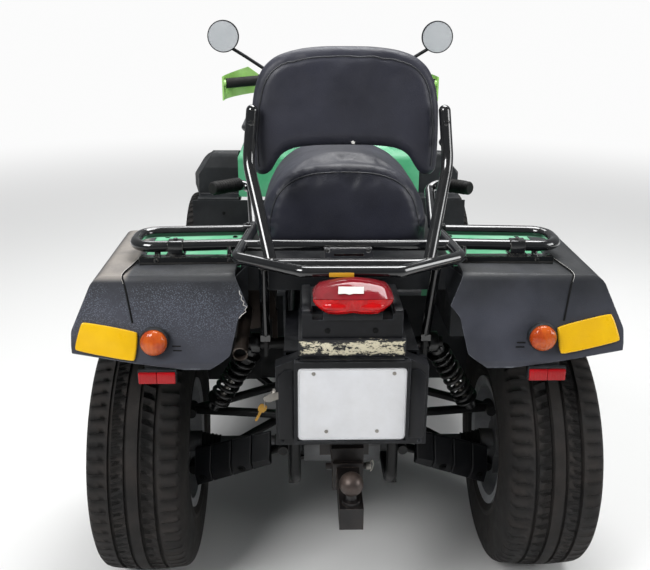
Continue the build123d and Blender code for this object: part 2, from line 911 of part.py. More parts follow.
# Seat base: the black middle of the deck, under the passenger seat and open below
base_side = [
    (deck_rear_y, 806),
    (deck_rear_y, deck_z),
    (seat_split_y - gap, deck_z, 12),
    (seat_split_y - gap, 700),
    (-430, 700, 30),
    (-545, 806, 30),
]
base_rear = [
    (-panel_in_x, 690),
    (-panel_in_x, deck_z, 3),
    (panel_in_x, deck_z, 3),
    (panel_in_x, 690),
]
with BuildPart() as seat_base:
    moulded_skin(base_side, base_rear)
save(seat_base.part, "seat_base")

# Rear fenders: flares over the tyres that turn in behind them
rear_arch_radius = 400
fender_low_z = 600
fender_side = [
    (-440, fender_low_z),
    (-405, 660, 20),
    (-440, 733, 50),
    (-604, fender_top_z, 60),
    (-965, fender_top_z, 22),
    (fender_rear_y, 690, 10),
    (fender_rear_y + 20, fender_low_z),
]
fender_rear_lower = [
    (fender_out_x, 711, 8),
    (458, 690, 30),
    (306, 665, 40),
    (253, 704, 16),
    (236, 779, 20),
    (fender_in_x, 805, 8),
]
fender_shoulder = [
    (fender_in_x + 30, fender_top_z),
    (540, fender_top_z - 4, 34),
    (fender_out_x, 755, 30),
]
fender_plan = [
    (150, fender_rear_y - 1),
    (fender_out_x + 0.5, fender_rear_y - 1, 16),
    (fender_out_x + 0.5, -395, 70),
    (150, -395 + 1),
]
with BuildPart() as rear_fenders:
    for turned in (list, mirrored):
        outer_foot = [(fender_out_x, fender_low_z), (fender_in_x, fender_low_z)]
        outer_rear = [(fender_in_x, 800), *fender_shoulder, *outer_foot]
        add(form(fender_side, turned(outer_rear), turned(fender_plan)))
    for turned in (list, mirrored):
        inner_rear = [(150, fender_top_z), *fender_shoulder, (fender_out_x, 500), (150, 500)]
        inner_side = [(-440, 500), *fender_side[:-1], (fender_rear_y, 500)]
        cavity = form(inner_side, turned(inner_rear), turned(fender_plan), (skin, skin, skin))
        add(cavity, mode=Mode.SUBTRACT)
        inner_corner = [(fender_in_x - 20, 805), (fender_in_x - 20, 500)]
        below_tail = [*fender_rear_lower, *inner_corner, (640, 500), (640, 711)]
        slab(Plane.XZ.offset(700), turned(below_tail), 400, mode=Mode.SUBTRACT)
    with Locations((0, rear_axle_y, tyre_radius)):
        Cylinder(rear_arch_radius, 2 * overall_length, rotation=(0, 90, 0), mode=Mode.SUBTRACT)
    deck_edge = deck_half_width + gap
    block((-deck_edge, deck_rear_y - gap, 500), (deck_edge, -300, 900), mode=Mode.SUBTRACT)
save(rear_fenders.part, "rear_fenders")

# Rear markers: amber indicators, red reflectors and yellow pads on the fenders' rear faces
with BuildPart() as rear_markers:
    for side in sides.values():
        rod((side * 410, fender_rear_y + 6, 738), (side * 410, fender_rear_y - 22, 738), 29)
        block((side * 368, fender_rear_y - 6, 642), (side * 450, fender_rear_y + 8, 670))
        block((side * 385, fender_rear_y + 5, 660), (side * 433, fender_rear_y + 10, 708))
        pad_corners = [
            (side * 442, 760, 6),
            (side * 550, 786, 6),
            (side * 576, 729, 6),
            (side * 450, 702, 6),
        ]
        slab(Plane.XZ.offset(-fender_rear_y - 8), pad_corners, 17)
    add(rear_fenders.part, mode=Mode.SUBTRACT)
save(rear_markers.part, "rear_markers")

# Rear rack: a loop with a bowed rear bar, a cross tube, and a wing over each fender
with BuildPart() as rear_rack:
    tube(
        [
            (-320, -560, 962),
            (-235, -470, 958),
            (-215, -700, rack_z),
            (-rack_side_x, -945, rack_z),
            (-100, rack_rear_y, rack_z),
            (100, rack_rear_y, rack_z),
            (rack_side_x, -945, rack_z),
            (215, -700, rack_z),
            (235, -470, 958),
            (320, -560, 962),
        ],
        rack_tube,
        25,
    )
    rod((-230, rack_cross_y, rack_z), (230, rack_cross_y, rack_z), rack_tube)
    rod((-168, -994, rack_z), (168, -994, rack_z), rack_tube)
    block((-52, -996, rack_z - 3), (52, rack_cross_y, rack_z + 3))
    block((-32, -948, rack_z - 4), (32, -930, rack_z + 4), mode=Mode.SUBTRACT)
    for side in sides.values():
        tube(
            [
                (side * 218, -730, rack_z),
                (side * wing_end_x, -748, rack_z),
                (side * wing_end_x, -868, rack_z),
                (side * 230, -848, rack_z),
            ],
            rack_tube,
            45,
        )
        block((side * 225, -886, 869), (side * deck_half_width, -862, 881))
        for x in (260, 420):
            rod((side * x, -874, deck_z + gap), (side * x, -874, 876), 9)
            rod((side * x, -862, 877), (side * x, -862, rack_z), 7)
        rod((side * 180, -985, rack_z - 8), (side * 186, -846, 680), 11)
        block((side * 175, -860, 668 + gap), (side * 197, -832, 684))
save(rear_rack.part, "rear_rack")

# Passenger grips: rubber sleeves over the ends of the rack's forward handles
with BuildPart() as passenger_grips:
    for side in sides.values():
        end = Vector(side * 320, -560, 962)
        inward = Vector(-side * 85, 90, -4).normalized()
        rod(end - inward * 6, end + inward * 80, 17)
    add(rear_rack.part, mode=Mode.SUBTRACT)
save(passenger_grips.part, "passenger_grips")

# Backrest: the pad, and two bent uprights standing on the rack's rear bar
with BuildPart() as backrest:
    with BuildSketch(Plane.XZ.offset(-backrest_y - 32)) as pad_outline:
        with BuildLine():
            Line((-215, 1090), (-208, 1200))
            ThreePointArc((-208, 1200), (-176, 1288), (-90, backrest_top_z - 6))
            ThreePointArc((-90, backrest_top_z - 6), (0, backrest_top_z), (90, backrest_top_z - 6))
            ThreePointArc((90, backrest_top_z - 6), (176, 1288), (208, 1200))
            Line((208, 1200), (215, 1090))
            ThreePointArc((215, 1090), (205, 1048), (172, 1046))
            ThreePointArc((172, 1046), (130, 1088), (70, 1098))
            Line((70, 1098), (-70, 1098))
            ThreePointArc((-70, 1098), (-130, 1088), (-172, 1046))
            ThreePointArc((-172, 1046), (-205, 1048), (-215, 1090))
        make_face()
    extrude(pad_outline.sketch, amount=70)
save(backrest.part, "backrest")

with BuildPart() as backrest_frame:
    for side in sides.values():
        tube(
            [
                (side * 164, -985, rack_z),
                (side * 215, -858, 1085),
                (side * 205, -843, 1195),
            ],
            rack_tube,
            90,
        )
        for z in (1125, 1170):
            rod((side * 207, -843, z), (side * 207, -828 - gap, z), 9)
    add(rear_rack.part, mode=Mode.SUBTRACT)
    add(backrest.part, mode=Mode.SUBTRACT)
save(backrest_frame.part, "backrest_frame")

# Tail box: a bin open to the rear, with the lamp block on top and two hinge knuckles
knuckle_zs = ((575, 600), (600 + gap, 625), (625 + gap, 650))
with BuildPart() as tail_box:
    block((-box_half_width, box_rear_y, box_floor_z), (box_half_width, box_front_y, box_top_z))
    block(
        (skin - box_half_width, box_rear_y - 1, box_floor_z + skin),
        (box_half_width - skin, box_front_y - skin, box_top_z - skin),
        mode=Mode.SUBTRACT,
    )
    block((-108, -1105, box_top_z), (108, -930, 778))
    block((-101, -1098, 778), (101, -935, lamp_block_z))
    block((-80, -1130, lamp_block_z - 12), (80, -1050, lamp_block_z + 4), mode=Mode.SUBTRACT)
    for base_z in (570, 665):
        block((box_half_width - 1, hinge_y - 7, base_z + 20.5), (hinge_x, hinge_y + 7, base_z + 40))
        rod((hinge_x, hinge_y, base_z + 20.5), (hinge_x, hinge_y, base_z + 40), 7)
        rod((hinge_x, hinge_y, base_z), (hinge_x, hinge_y, base_z + 60), 3)
save(tail_box.part, "tail_box")

# Door: a shallow cover with cut top corners, bezel for the plate, and its hinge knuckles
with BuildPart() as box_door:
    slab(
        Plane.XZ.offset(-box_rear_y + gap),
        [
            (-door_half_width, 545),
            (door_half_width, 545),
            (door_half_width, 722),
            (108, box_top_z - gap),
            (-108, box_top_z - gap),
            (-door_half_width, 722),
        ],
        door_depth,
    )
    block((-117, -1125, 556), (117, -1111, 738))
    block((-111, -1130, 561), (111, -1121, 725), mode=Mode.SUBTRACT)
    for base_z in (570, 665):
        for low, high in ((0, 20), (40.5, 60)):
            block((hinge_x - 7, box_rear_y - 1, base_z + low), (hinge_x + 7, hinge_y, base_z + high))
            rod((hinge_x, hinge_y, base_z + low), (hinge_x, hinge_y, base_z + high), 7)
            rod(
                (hinge_x, hinge_y, base_z + low - 1),
                (hinge_x, hinge_y, base_z + high + 1),
                3 + gap,
                mode=Mode.SUBTRACT,
            )
save(box_door.part, "box_door")

# Number plate in its bezel
with BuildPart() as number_plate:
    block((-110, -1123, 562), (110, -1121 - gap, 724))
save(number_plate.part, "number_plate")

# Lock in the door's left edge, with the key in it
with BuildPart() as door_lock:
    rod((-door_half_width - gap, -1094, 655), (-door_half_width - 7, -1094, 655), 11)
    block((-door_half_width - 20, -1095.5, 646), (-door_half_width - 6, -1092.5, 664))
save(door_lock.part, "door_lock")

# Tail lamp on the lamp block
with BuildPart() as tail_lamp:
    lens_z = lamp_block_z + 4 + gap
    with BuildSketch(Plane.XZ.offset(1056)) as lens:
        with BuildLine():
            Line((-54, lens_z), (54, lens_z))
            Line((54, lens_z), (80, lens_z + 26))
            Line((80, lens_z + 26), (67, lens_z + 51))
            ThreePointArc((67, lens_z + 51), (0, lens_z + 61), (-67, lens_z + 51))
            Line((-67, lens_z + 51), (-80, lens_z + 26))
            Line((-80, lens_z + 26), (-54, lens_z))
        make_face()
    extrude(lens.sketch, amount=64)
    block((-60, -1112, lamp_block_z - 12 + gap), (60, -1060, lens_z + 4))
save(tail_lamp.part, "tail_lamp")

# Receiver: a square tube under the tail, on a plate against the frame's rear cross tube
with BuildPart() as receiver:
    face_y = rail_rear_y - cross_tube - gap
    half = drawbar_side / 2
    block((-half - 8, -1010, drawbar_z - half - 8), (half + 8, face_y, drawbar_z + half + 8))
    block((-60, face_y - 8, drawbar_z - 40), (60, face_y, drawbar_z + 62))
    block((-36, -1000, drawbar_z + half), (36, face_y, drawbar_z + 66))
    block(
        (-half - 0.5, -1011, drawbar_z - half - 0.5),
        (half + 0.5, face_y - 12, drawbar_z + half + 0.5),
        mode=Mode.SUBTRACT,
    )
    rod((-50, -965, drawbar_z), (50, -965, drawbar_z), 8, mode=Mode.SUBTRACT)
save(receiver.part, "receiver")

# Drawbar with its cross pin, and the ball on its neck
with BuildPart() as drawbar:
    block((-half, rear_end_y, drawbar_z - half), (half, -870, drawbar_z + half))
    rod((-48, -965, drawbar_z), (48, -965, drawbar_z), 7.5)
    rod((0, ball_y, drawbar_z + half - 1), (0, ball_y, drawbar_z + half + 8), 19)
    rod((0, ball_y, drawbar_z + half), (0, ball_y, ball_z), 12)
    with Locations((0, ball_y, ball_z)):
        Sphere(ball_radius)
save(drawbar.part, "drawbar")

# Muffler left of the middle, with its bent tip and a bracket down to the cross tube
with BuildPart() as muffler:
    rod((-220, -825, 745), (-220, -560, 745), 58)
    tube([(-230, -815, 735), (-230, -920, 728), (-231, -1005, 712)], 14, 30)
    block((-172, -806, upper_rail_z + frame_tube + gap), (-160, -794, 725))
save(muffler.part, "muffler")

# Front rack: a loop with two bars on four feet
with BuildPart() as front_rack:
    corners = [(-330, 640), (-330, 1060), (330, 1060), (330, 640)]
    tube(
        [(0, 640, 925)] + [(x, y, 925) for x, y in corners] + [(1, 640, 925)], rack_tube, 50
    )
    for y in (780, 920):
        rod((-330, y, 925), (330, y, 925), 9)
    for x in (-150, 150):
        for y in (780, 920):
            rod((x, y, 890 + gap), (x, y, 925), 10)
save(front_rack.part, "front_rack")

# Front bumper: a hoop ahead of the nose, on the frame's front tubes
with BuildPart() as front_bumper:
    bar_y = front_end_y - rack_tube
    tube(
        [
            (-rail_x, rail_front_y + frame_tube + gap, 470),
            (-rail_x, bar_y, 470),
            (-210, bar_y, 560),
            (-210, bar_y, 790),
            (210, bar_y, 790),
            (210, bar_y, 560),
            (rail_x, bar_y, 470),
            (rail_x, rail_front_y + frame_tube + gap, 470),
        ],
        rack_tube,
        30,
    )
    rod((-200, bar_y, 600), (200, bar_y, 600), 9)
save(front_bumper.part, "front_bumper")
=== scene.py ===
from math import cos, pi, radians, sin

import bmesh
import bpy
from mathutils import Matrix, Vector
from mathutils.bvhtree import BVHTree


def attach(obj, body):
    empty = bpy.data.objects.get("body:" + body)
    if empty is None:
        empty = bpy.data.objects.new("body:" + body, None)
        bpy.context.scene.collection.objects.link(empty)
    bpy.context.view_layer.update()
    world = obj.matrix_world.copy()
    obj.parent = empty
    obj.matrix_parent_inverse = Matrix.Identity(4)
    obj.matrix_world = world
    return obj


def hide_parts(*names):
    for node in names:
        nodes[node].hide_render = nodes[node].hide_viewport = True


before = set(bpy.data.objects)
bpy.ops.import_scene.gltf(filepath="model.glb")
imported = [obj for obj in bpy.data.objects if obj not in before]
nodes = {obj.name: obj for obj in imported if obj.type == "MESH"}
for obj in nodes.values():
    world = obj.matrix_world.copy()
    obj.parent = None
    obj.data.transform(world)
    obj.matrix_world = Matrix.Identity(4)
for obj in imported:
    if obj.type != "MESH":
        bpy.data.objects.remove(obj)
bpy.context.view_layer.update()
scene = bpy.context.scene
sides = {"left": -1, "right": 1}
rearAxleY, frontAxleY, axleZ = -700, 800, 317
print("frame loaded")


def enterScene(name, data):
    thing = bpy.data.objects.new(name, data)
    scene.collection.objects.link(thing)
    return thing


# Camera at the photograph's viewing angle
cameraPlace = {"location": (-0.096, -2.615, 1.430), "pitchDown": 19.13, "yaw": 1.44, "roll": -0.27,
               "lens": 45.66, "shift": -0.009}
cameraData = bpy.data.cameras.new("camera")
cameraData.lens = cameraPlace["lens"]
cameraData.shift_y = cameraPlace["shift"]
camera = enterScene("camera", cameraData)
camera.location = cameraPlace["location"]
camera.rotation_euler = (
    radians(90 - cameraPlace["pitchDown"]), radians(cameraPlace["roll"]), radians(-cameraPlace["yaw"]),
)
scene.camera = camera
scene.view_settings.view_transform = "Standard"


# small helpers: colours and nodes

def colour(hexText):
    channels = [int(hexText[i:i + 2], 16) / 255 for i in (1, 3, 5)]
    return tuple(c / 12.92 if c <= 0.04045 else ((c + 0.055) / 1.055) ** 2.4 for c in channels) + (1.0,)


def feed(tree, node, inputs):
    for key, value in inputs.items():
        if isinstance(value, bpy.types.NodeSocket):
            tree.links.new(value, node.inputs[key])
        else:
            node.inputs[key].default_value = value


def addNode(tree, kind, inputs=None, **settings):
    node = tree.nodes.new(kind)
    for key, value in settings.items():
        setattr(node, key, value)
    feed(tree, node, inputs or {})
    return node


def mixColour(tree, factor, first, second, blend="MIX"):
    return addNode(tree, "ShaderNodeMix", {0: factor, 6: first, 7: second}, data_type="RGBA",
                   blend_type=blend).outputs[2]


def calc(tree, operation, first, second=0.0, clamp=False):
    return addNode(tree, "ShaderNodeMath", {0: first, 1: second}, operation=operation,
                   use_clamp=clamp).outputs[0]


def times(tree, first, second, clamp=False):
    return calc(tree, "MULTIPLY", first, second, clamp)


def between(tree, value, low, high, toLow=0.0, toHigh=1.0):
    inputs = {0: value, 1: low, 2: high, 3: toLow, 4: toHigh}
    return addNode(tree, "ShaderNodeMapRange", inputs, interpolation_type="SMOOTHSTEP").outputs[0]


def noise(tree, vector, scale, detail=4.0, roughness=0.55):
    inputs = {"Vector": vector, "Scale": scale, "Detail": detail, "Roughness": roughness}
    return addNode(tree, "ShaderNodeTexNoise", inputs).outputs[0]


def placeOf(tree):
    return addNode(tree, "ShaderNodeTexCoord").outputs["Object"]


def newGroup(name, inputs, outputs):
    group = bpy.data.node_groups.new(name, "ShaderNodeTree")
    for label, default in inputs.items():
        socket = group.interface.new_socket(label, in_out="INPUT", socket_type="NodeSocketFloat")
        socket.default_value = default
    for label in outputs:
        group.interface.new_socket(label, in_out="OUTPUT", socket_type="NodeSocketFloat")
    return group, group.nodes.new("NodeGroupInput"), group.nodes.new("NodeGroupOutput")


# shared effects

# Dust that lies on what faces up, in clouds
dustFall, start, end = newGroup("dustFall", {"Amount": 0.4, "Scale": 9.0, "Upward": 0.7}, ["Mask"])
place = placeOf(dustFall)
up = addNode(dustFall, "ShaderNodeSeparateXYZ",
             {0: addNode(dustFall, "ShaderNodeNewGeometry").outputs["Normal"]}).outputs[2]
facing = between(dustFall, up, -0.1, 0.95)
share = calc(dustFall, "ADD", times(dustFall, facing, start.outputs["Upward"]),
             calc(dustFall, "SUBTRACT", 1.0, start.outputs["Upward"]))
cloud = between(dustFall, noise(dustFall, place, start.outputs["Scale"], 9.0, 0.7), 0.32, 0.72)
mask = times(dustFall, times(dustFall, share, cloud), start.outputs["Amount"], clamp=True)
feed(dustFall, end, {"Mask": mask})

# Rubbed and chipped corners
edgeWear, start, end = newGroup("edgeWear", {"Radius": 0.002, "Amount": 0.5, "Scale": 60.0}, ["Mask"])
place = placeOf(edgeWear)
rounded = addNode(edgeWear, "ShaderNodeBevel", {"Radius": start.outputs["Radius"]}, samples=4).outputs[0]
flat = addNode(edgeWear, "ShaderNodeNewGeometry").outputs["Normal"]
same = addNode(edgeWear, "ShaderNodeVectorMath", {0: rounded, 1: flat},
               operation="DOT_PRODUCT").outputs["Value"]
corner = between(edgeWear, calc(edgeWear, "SUBTRACT", 1.0, same), 0.01, 0.12)
broken = between(edgeWear, noise(edgeWear, place, start.outputs["Scale"], 6.0, 0.7), 0.42, 0.62)
mask = times(edgeWear, times(edgeWear, corner, broken), start.outputs["Amount"], clamp=True)
feed(edgeWear, end, {"Mask": mask})

# Moulded plastic's fine grain with slow unevenness
mouldGrain, start, end = newGroup("mouldGrain", {"Scale": 700.0}, ["Height"])
place = placeOf(mouldGrain)
fine = noise(mouldGrain, place, start.outputs["Scale"], 2.0, 0.5)
slow = noise(mouldGrain, place, 14.0, 2.0, 0.5)
feed(mouldGrain, end, {"Height": calc(mouldGrain, "ADD", fine, times(mouldGrain, slow, 2.0))})

# Vinyl's pebble grain over soft wrinkles
vinylGrain, start, end = newGroup("vinylGrain", {"Scale": 420.0, "Wrinkle": 0.6}, ["Height"])
place = placeOf(vinylGrain)
pebble = addNode(vinylGrain, "ShaderNodeTexVoronoi", {"Vector": place, "Scale": start.outputs["Scale"]},
                 feature="SMOOTH_F1").outputs["Distance"]
wrinkle = noise(vinylGrain, place, 26.0, 5.0, 0.6)
height = calc(vinylGrain, "ADD", pebble, times(vinylGrain, wrinkle, start.outputs["Wrinkle"]))
feed(vinylGrain, end, {"Height": height})

# Thin scratches that run mostly one way
hairLines, start, end = newGroup("hairLines", {"Amount": 0.3, "Scale": 40.0}, ["Mask"])
placing = {"Vector": placeOf(hairLines), "Rotation": (0.5, 0.9, 0.3), "Scale": (1.0, 12.0, 1.0)}
stretched = addNode(hairLines, "ShaderNodeMapping", placing).outputs[0]
lines = between(hairLines, noise(hairLines, stretched, start.outputs["Scale"], 5.0, 0.75), 0.62, 0.72)
feed(hairLines, end, {"Mask": times(hairLines, lines, start.outputs["Amount"], clamp=True)})

# Small light spots, as dried splashes
speckle, start, end = newGroup("speckle", {"Amount": 0.5, "Scale": 160.0, "Size": 0.28}, ["Mask"])
spot = addNode(speckle, "ShaderNodeTexVoronoi", {"Vector": placeOf(speckle), "Scale": start.outputs["Scale"]})
near = calc(speckle, "LESS_THAN", spot.outputs["Distance"], start.outputs["Size"])
some = between(speckle, noise(speckle, placeOf(speckle), 12.0, 6.0, 0.7), 0.34, 0.52)
mask = times(speckle, times(speckle, near, some), start.outputs["Amount"], clamp=True)
feed(speckle, end, {"Mask": mask})


def useGroup(tree, group, **values):
    node = tree.nodes.new("ShaderNodeGroup")
    node.node_tree = group
    feed(tree, node, values)
    return node.outputs[0]


# finishes. Tones are two colours in clouds; each layer lies on the one before it.
finishes = {
    "tubeBlack": {"tones": ("#050608", "#0B0D10"), "rough": (0.1, 0.22), "coat": 1.0, "shine": 0.4,
                  "dust": ("#77756F", 0.07), "wear": ("#A9A59C", 0.5, 0.0014), "scratch": ("#5E6165", 0.12)},
    "castMetal": {"tones": ("#6A6C6E", "#4B4D50"), "rough": (0.4, 0.62), "metal": 0.75,
                  "grain": (500, 0.0006),
                  "dust": ("#6B6258", 0.5), "wear": ("#B9BABA", 0.5, 0.002)},
    "rubber": {"tones": ("#0B0C0D", "#131415"), "rough": (0.55, 0.75), "shine": 0.25, "grain": (600, 0.0004),
               "dust": ("#6E6962", 0.16)},
    "tyreRubber": {"tones": ("#131313", "#1C1B1B"), "rough": (0.7, 0.88), "shine": 0.3,
                   "grain": (420, 0.0006),
                   "dust": ("#413B37", 0.45), "upward": 0.25, "scratch": ("#3E3A37", 0.2)},
    "wheelSilver": {"tones": ("#A9ABAE", "#8C8E91"), "rough": (0.3, 0.5), "metal": 0.45,
                    "dust": ("#4A433D", 0.4), "upward": 0.1, "wear": ("#E2E3E4", 0.4, 0.002)},
    "boxPlastic": {"tones": ("#08090B", "#0E0F13"), "rough": (0.28, 0.45), "shine": 0.25,
                   "grain": (700, 0.0005),
                   "dust": ("#5F6063", 0.14), "wear": ("#4B4E53", 0.6, 0.003), "scratch": ("#3C3F44", 0.3)},
    "bodyBlack": {"tones": ("#0B0D10", "#14171B"), "rough": (0.4, 0.6), "shine": 0.3, "grain": (650, 0.0006),
                  "dust": ("#6C6D6E", 0.2), "wear": ("#55585C", 0.5, 0.003), "scratch": ("#3E4145", 0.25)},
    # mintGreen: the pale dust on its upward faces is partly dust and partly a painted highlight where the top
    # light falls
    "mintGreen": {"tones": ("#44A373", "#60B388"), "rough": (0.28, 0.45), "shine": 0.35, "coat": 0.15,
                  "grain": (600, 0.0002),
                  "dust": ("#A9C2B3", 0.42), "wear": ("#A3D8B8", 0.35, 0.002), "scratch": ("#8FD0AA", 0.25)},
    "limeGreen": {"tones": ("#8AC25A", "#9ECB78"), "rough": (0.22, 0.4), "coat": 0.3, "grain": (600, 0.0002),
                  "dust": ("#BFC6A8", 0.3), "wear": ("#C4DFA3", 0.4, 0.002)},
    "seatVinyl": {"tones": ("#1F2029", "#292A35"), "rough": (0.4, 0.54), "shine": 0.4, "vinyl": (420, 0.0005),
                  "dust": ("#62646D", 0.16), "wear": ("#3C3E47", 0.4, 0.005)},
    "seatWelt": {"tones": ("#1B1C20", "#26282D"), "rough": (0.32, 0.45), "vinyl": (600, 0.0003),
                 "dust": ("#66686D", 0.25)},
    "zincSteel": {"tones": ("#A5A39D", "#7C7A75"), "rough": (0.3, 0.55), "metal": 0.95,
                  "grain": (500, 0.0003),
                  "dust": ("#5E4B3C", 0.35), "upward": 0.1},
    "brass": {"tones": ("#B08A45", "#8E6C33"), "rough": (0.28, 0.5), "metal": 0.95,
              "wear": ("#DCC282", 0.6, 0.001)},
    "exhaustSteel": {"tones": ("#2E2622", "#1D1917"), "rough": (0.45, 0.7), "metal": 0.4, "shine": 0.3,
                     "grain": (300, 0.0006), "dust": ("#4A3D33", 0.4), "upward": 0.2,
                     "wear": ("#9C9389", 0.8, 0.0012)},
    "frameBlack": {"tones": ("#060708", "#0C0D0F"), "rough": (0.35, 0.55), "shine": 0.25, "coat": 0.12,
                   "dust": ("#4E4A45", 0.15), "wear": ("#7A766E", 0.4, 0.0014)},
    "hitchSteel": {"tones": ("#0D0D0F", "#171515"), "rough": (0.32, 0.55), "grain": (260, 0.0007),
                   "shine": 0.35,
                   "dust": ("#4E413A", 0.22), "wear": ("#6E6058", 0.6, 0.002), "upward": 0.4},
    "rubbedBall": {"tones": ("#4E4440", "#342E2C"), "rough": (0.3, 0.5), "metal": 0.6, "grain": (260, 0.0006),
                   "dust": ("#7A675C", 0.5), "upward": 0.5},
    "springBlack": {"tones": ("#090A0B", "#101214"), "rough": (0.2, 0.4), "coat": 0.4, "shine": 0.3,
                    "dust": ("#6F6A64", 0.2)},
    "plateWhite": {"tones": ("#D2D3D6", "#C9CACD"), "rough": (0.3, 0.45), "coat": 0.2,
                   "dust": ("#A9A6A0", 0.25), "upward": 0.1},
    # darkRecess: near-black. In the slots, the exhaust bore and behind the grille it is painted shade; on
    # bolts, screws and the fender fold it is their own dark colour.
    "darkRecess": {"tones": ("#050606", "#0B0C0D"), "rough": (0.6, 0.8), "shine": 0.15,
                   "dust": ("#4A4643", 0.1)},
    "yellowPad": {"tones": ("#DAA800", "#E4B606"), "rough": (0.25, 0.42), "coat": 0.2, "shine": 0.3,
                  "grain": (90, 0.0006),
                  "dust": ("#A98B3C", 0.25), "wear": ("#F4D65A", 0.5, 0.003), "scratch": ("#B98E12", 0.3)},
    "mirrorGlass": {"tones": ("#E3E6E9", "#D9DDE1"), "rough": (0.02, 0.06), "metal": 0.45},
    "stickerWhite": {"tones": ("#D9D8D4", "#C9C7C2"), "rough": (0.4, 0.6), "dust": ("#9F9A92", 0.3)},
    "tagYellow": {"tones": ("#D9A21C", "#B98413"), "rough": (0.4, 0.6), "dust": ("#6E5A2A", 0.5)},
    "markerRed": {"tones": ("#8E060E", "#A80A13"), "rough": (0.12, 0.25), "coat": 0.15, "shine": 0.3,
                  "dust": ("#5E2422", 0.12)},
}


def newMaterial(name):
    material = bpy.data.materials.new(name)
    material.use_nodes = True
    return material, material.node_tree, material.node_tree.nodes["Principled BSDF"]


def makeFinish(name, look):
    material, tree, shader = newMaterial(name)
    place = placeOf(tree)
    cloud = between(tree, noise(tree, place, look.get("cloud", 7.0), 6.0, 0.6), 0.3, 0.7)
    tone = mixColour(tree, cloud, colour(look["tones"][0]), colour(look["tones"][1]))
    low, high = look["rough"]
    rough = between(tree, noise(tree, place, 24.0, 7.0, 0.65), 0.3, 0.7, low, high)
    for layer, group in (("scratch", hairLines), ("dust", dustFall), ("wear", edgeWear)):
        if layer not in look:
            continue
        paint, amount = look[layer][:2]
        values = {"Amount": amount}
        if layer == "dust":
            values["Upward"] = look.get("upward", 0.75)
        if layer == "wear":
            values["Radius"] = look[layer][2]
        mask = useGroup(tree, group, **values)
        tone = mixColour(tree, mask, tone, colour(paint))
        if layer == "dust":
            rough = calc(tree, "ADD", rough, times(tree, mask, 0.35), clamp=True)
    feed(tree, shader, {
        "Base Color": tone, "Roughness": rough, "Metallic": look.get("metal", 0.0),
        "Coat Weight": look.get("coat", 0.0), "Coat Roughness": 0.08,
        "Specular IOR Level": look.get("shine", 0.5)})
    for kind, group in (("grain", mouldGrain), ("vinyl", vinylGrain)):
        if kind in look:
            scale, depth = look[kind]
            height = useGroup(tree, group, Scale=scale)
            bump = addNode(tree, "ShaderNodeBump", {"Strength": 0.5, "Distance": depth, "Height": height})
            feed(tree, shader, {"Normal": bump.outputs[0]})
    return material


# A finish that is taken further: its tree, shader and tone so far
def openFinish(material):
    shader = material.node_tree.nodes["Principled BSDF"]
    return material.node_tree, shader, shader.inputs["Base Color"].links[0].from_socket


finish = {name: makeFinish(name, look) for name, look in finishes.items()}


# Fender plastic: dark blue-grey. The left one is splashed behind, and pale with dust outside its fold.
def makeFenderFinish():
    material = makeFinish("fenderPlastic", {
        "tones": ("#2D2F36", "#3B3D46"), "rough": (0.42, 0.62), "grain": (600, 0.0006), "shine": 0.35,
        "scratch": ("#5A5F69", 0.15), "cloud": 5.0})
    tree, shader, tone = openFinish(material)
    place = placeOf(tree)
    x, y, z = addNode(tree, "ShaderNodeSeparateXYZ", {0: place}).outputs[:3]
    isLeft = calc(tree, "LESS_THAN", x, 0.0)
    shade = times(tree, between(tree, z, 0.78, 0.855),
                  between(tree, noise(tree, place, 9.0, 5.0), 0.3, 0.6, 0.4, 1.0))
    tone = mixColour(tree, times(tree, shade, 0.75), tone, colour("#191B1E"))
    band = times(tree, between(tree, z, 0.70, 0.78), between(tree, z, 0.864, 0.83))
    spots = times(tree, useGroup(tree, speckle, Amount=0.5, Scale=380.0, Size=0.34), isLeft)
    tone = mixColour(tree, times(tree, spots, band), tone, colour("#767D8B"))
    lying = between(tree, z, 0.852, 0.867)
    clouds = between(tree, noise(tree, place, 9.0, 8.0, 0.7), 0.25, 0.6, 0.55, 1.0)
    amount = times(tree, clouds, between(tree, x, -0.462, -0.476, 0.35, 0.9))
    dust = mixColour(tree, between(tree, x, -0.462, -0.476), colour("#3B3C3A"), colour("#8F8982"))
    tone = mixColour(tree, times(tree, lying, amount), tone, dust)
    paleEdge = useGroup(tree, edgeWear, Amount=0.5, Radius=0.003, Scale=40.0)
    tone = mixColour(tree, paleEdge, tone, colour("#7D8188"))
    feed(tree, shader, {"Base Color": tone})
    return material


# Peeling cream paint on black plastic
def makePeelFinish():
    material = makeFinish("peelingCream", {
        "tones": ("#C9C1A6", "#D8D1B8"), "rough": (0.5, 0.7), "grain": (300, 0.0008),
        "dust": ("#7A7263", 0.4)})
    tree, shader, tone = openFinish(material)
    place = addNode(tree, "ShaderNodeMapping", {"Vector": placeOf(tree), "Scale": (1.0, 1.0, 2.2)}).outputs[0]
    x, y, z = addNode(tree, "ShaderNodeSeparateXYZ", {0: placeOf(tree)}).outputs[:3]
    flake = calc(tree, "ADD", times(tree, noise(tree, place, 34.0, 9.0, 0.72), 0.55),
                 times(tree, noise(tree, place, 150.0, 6.0, 0.8), 0.45))
    flake = calc(tree, "ADD", flake, between(tree, x, 0.0, -0.06, 0.0, 0.035))
    rim = calc(tree, "MAXIMUM", between(tree, z, 0.768, 0.779), between(tree, z, 0.752, 0.742))
    rim = calc(tree, "MAXIMUM", rim, between(tree, calc(tree, "ABSOLUTE", x), 0.098, 0.109))
    gone = between(tree, calc(tree, "ADD", flake, times(tree, rim, 0.1)), 0.525, 0.538)
    tone = mixColour(tree, gone, tone, colour("#17181B"))
    feed(tree, shader, {"Base Color": tone})
    return material


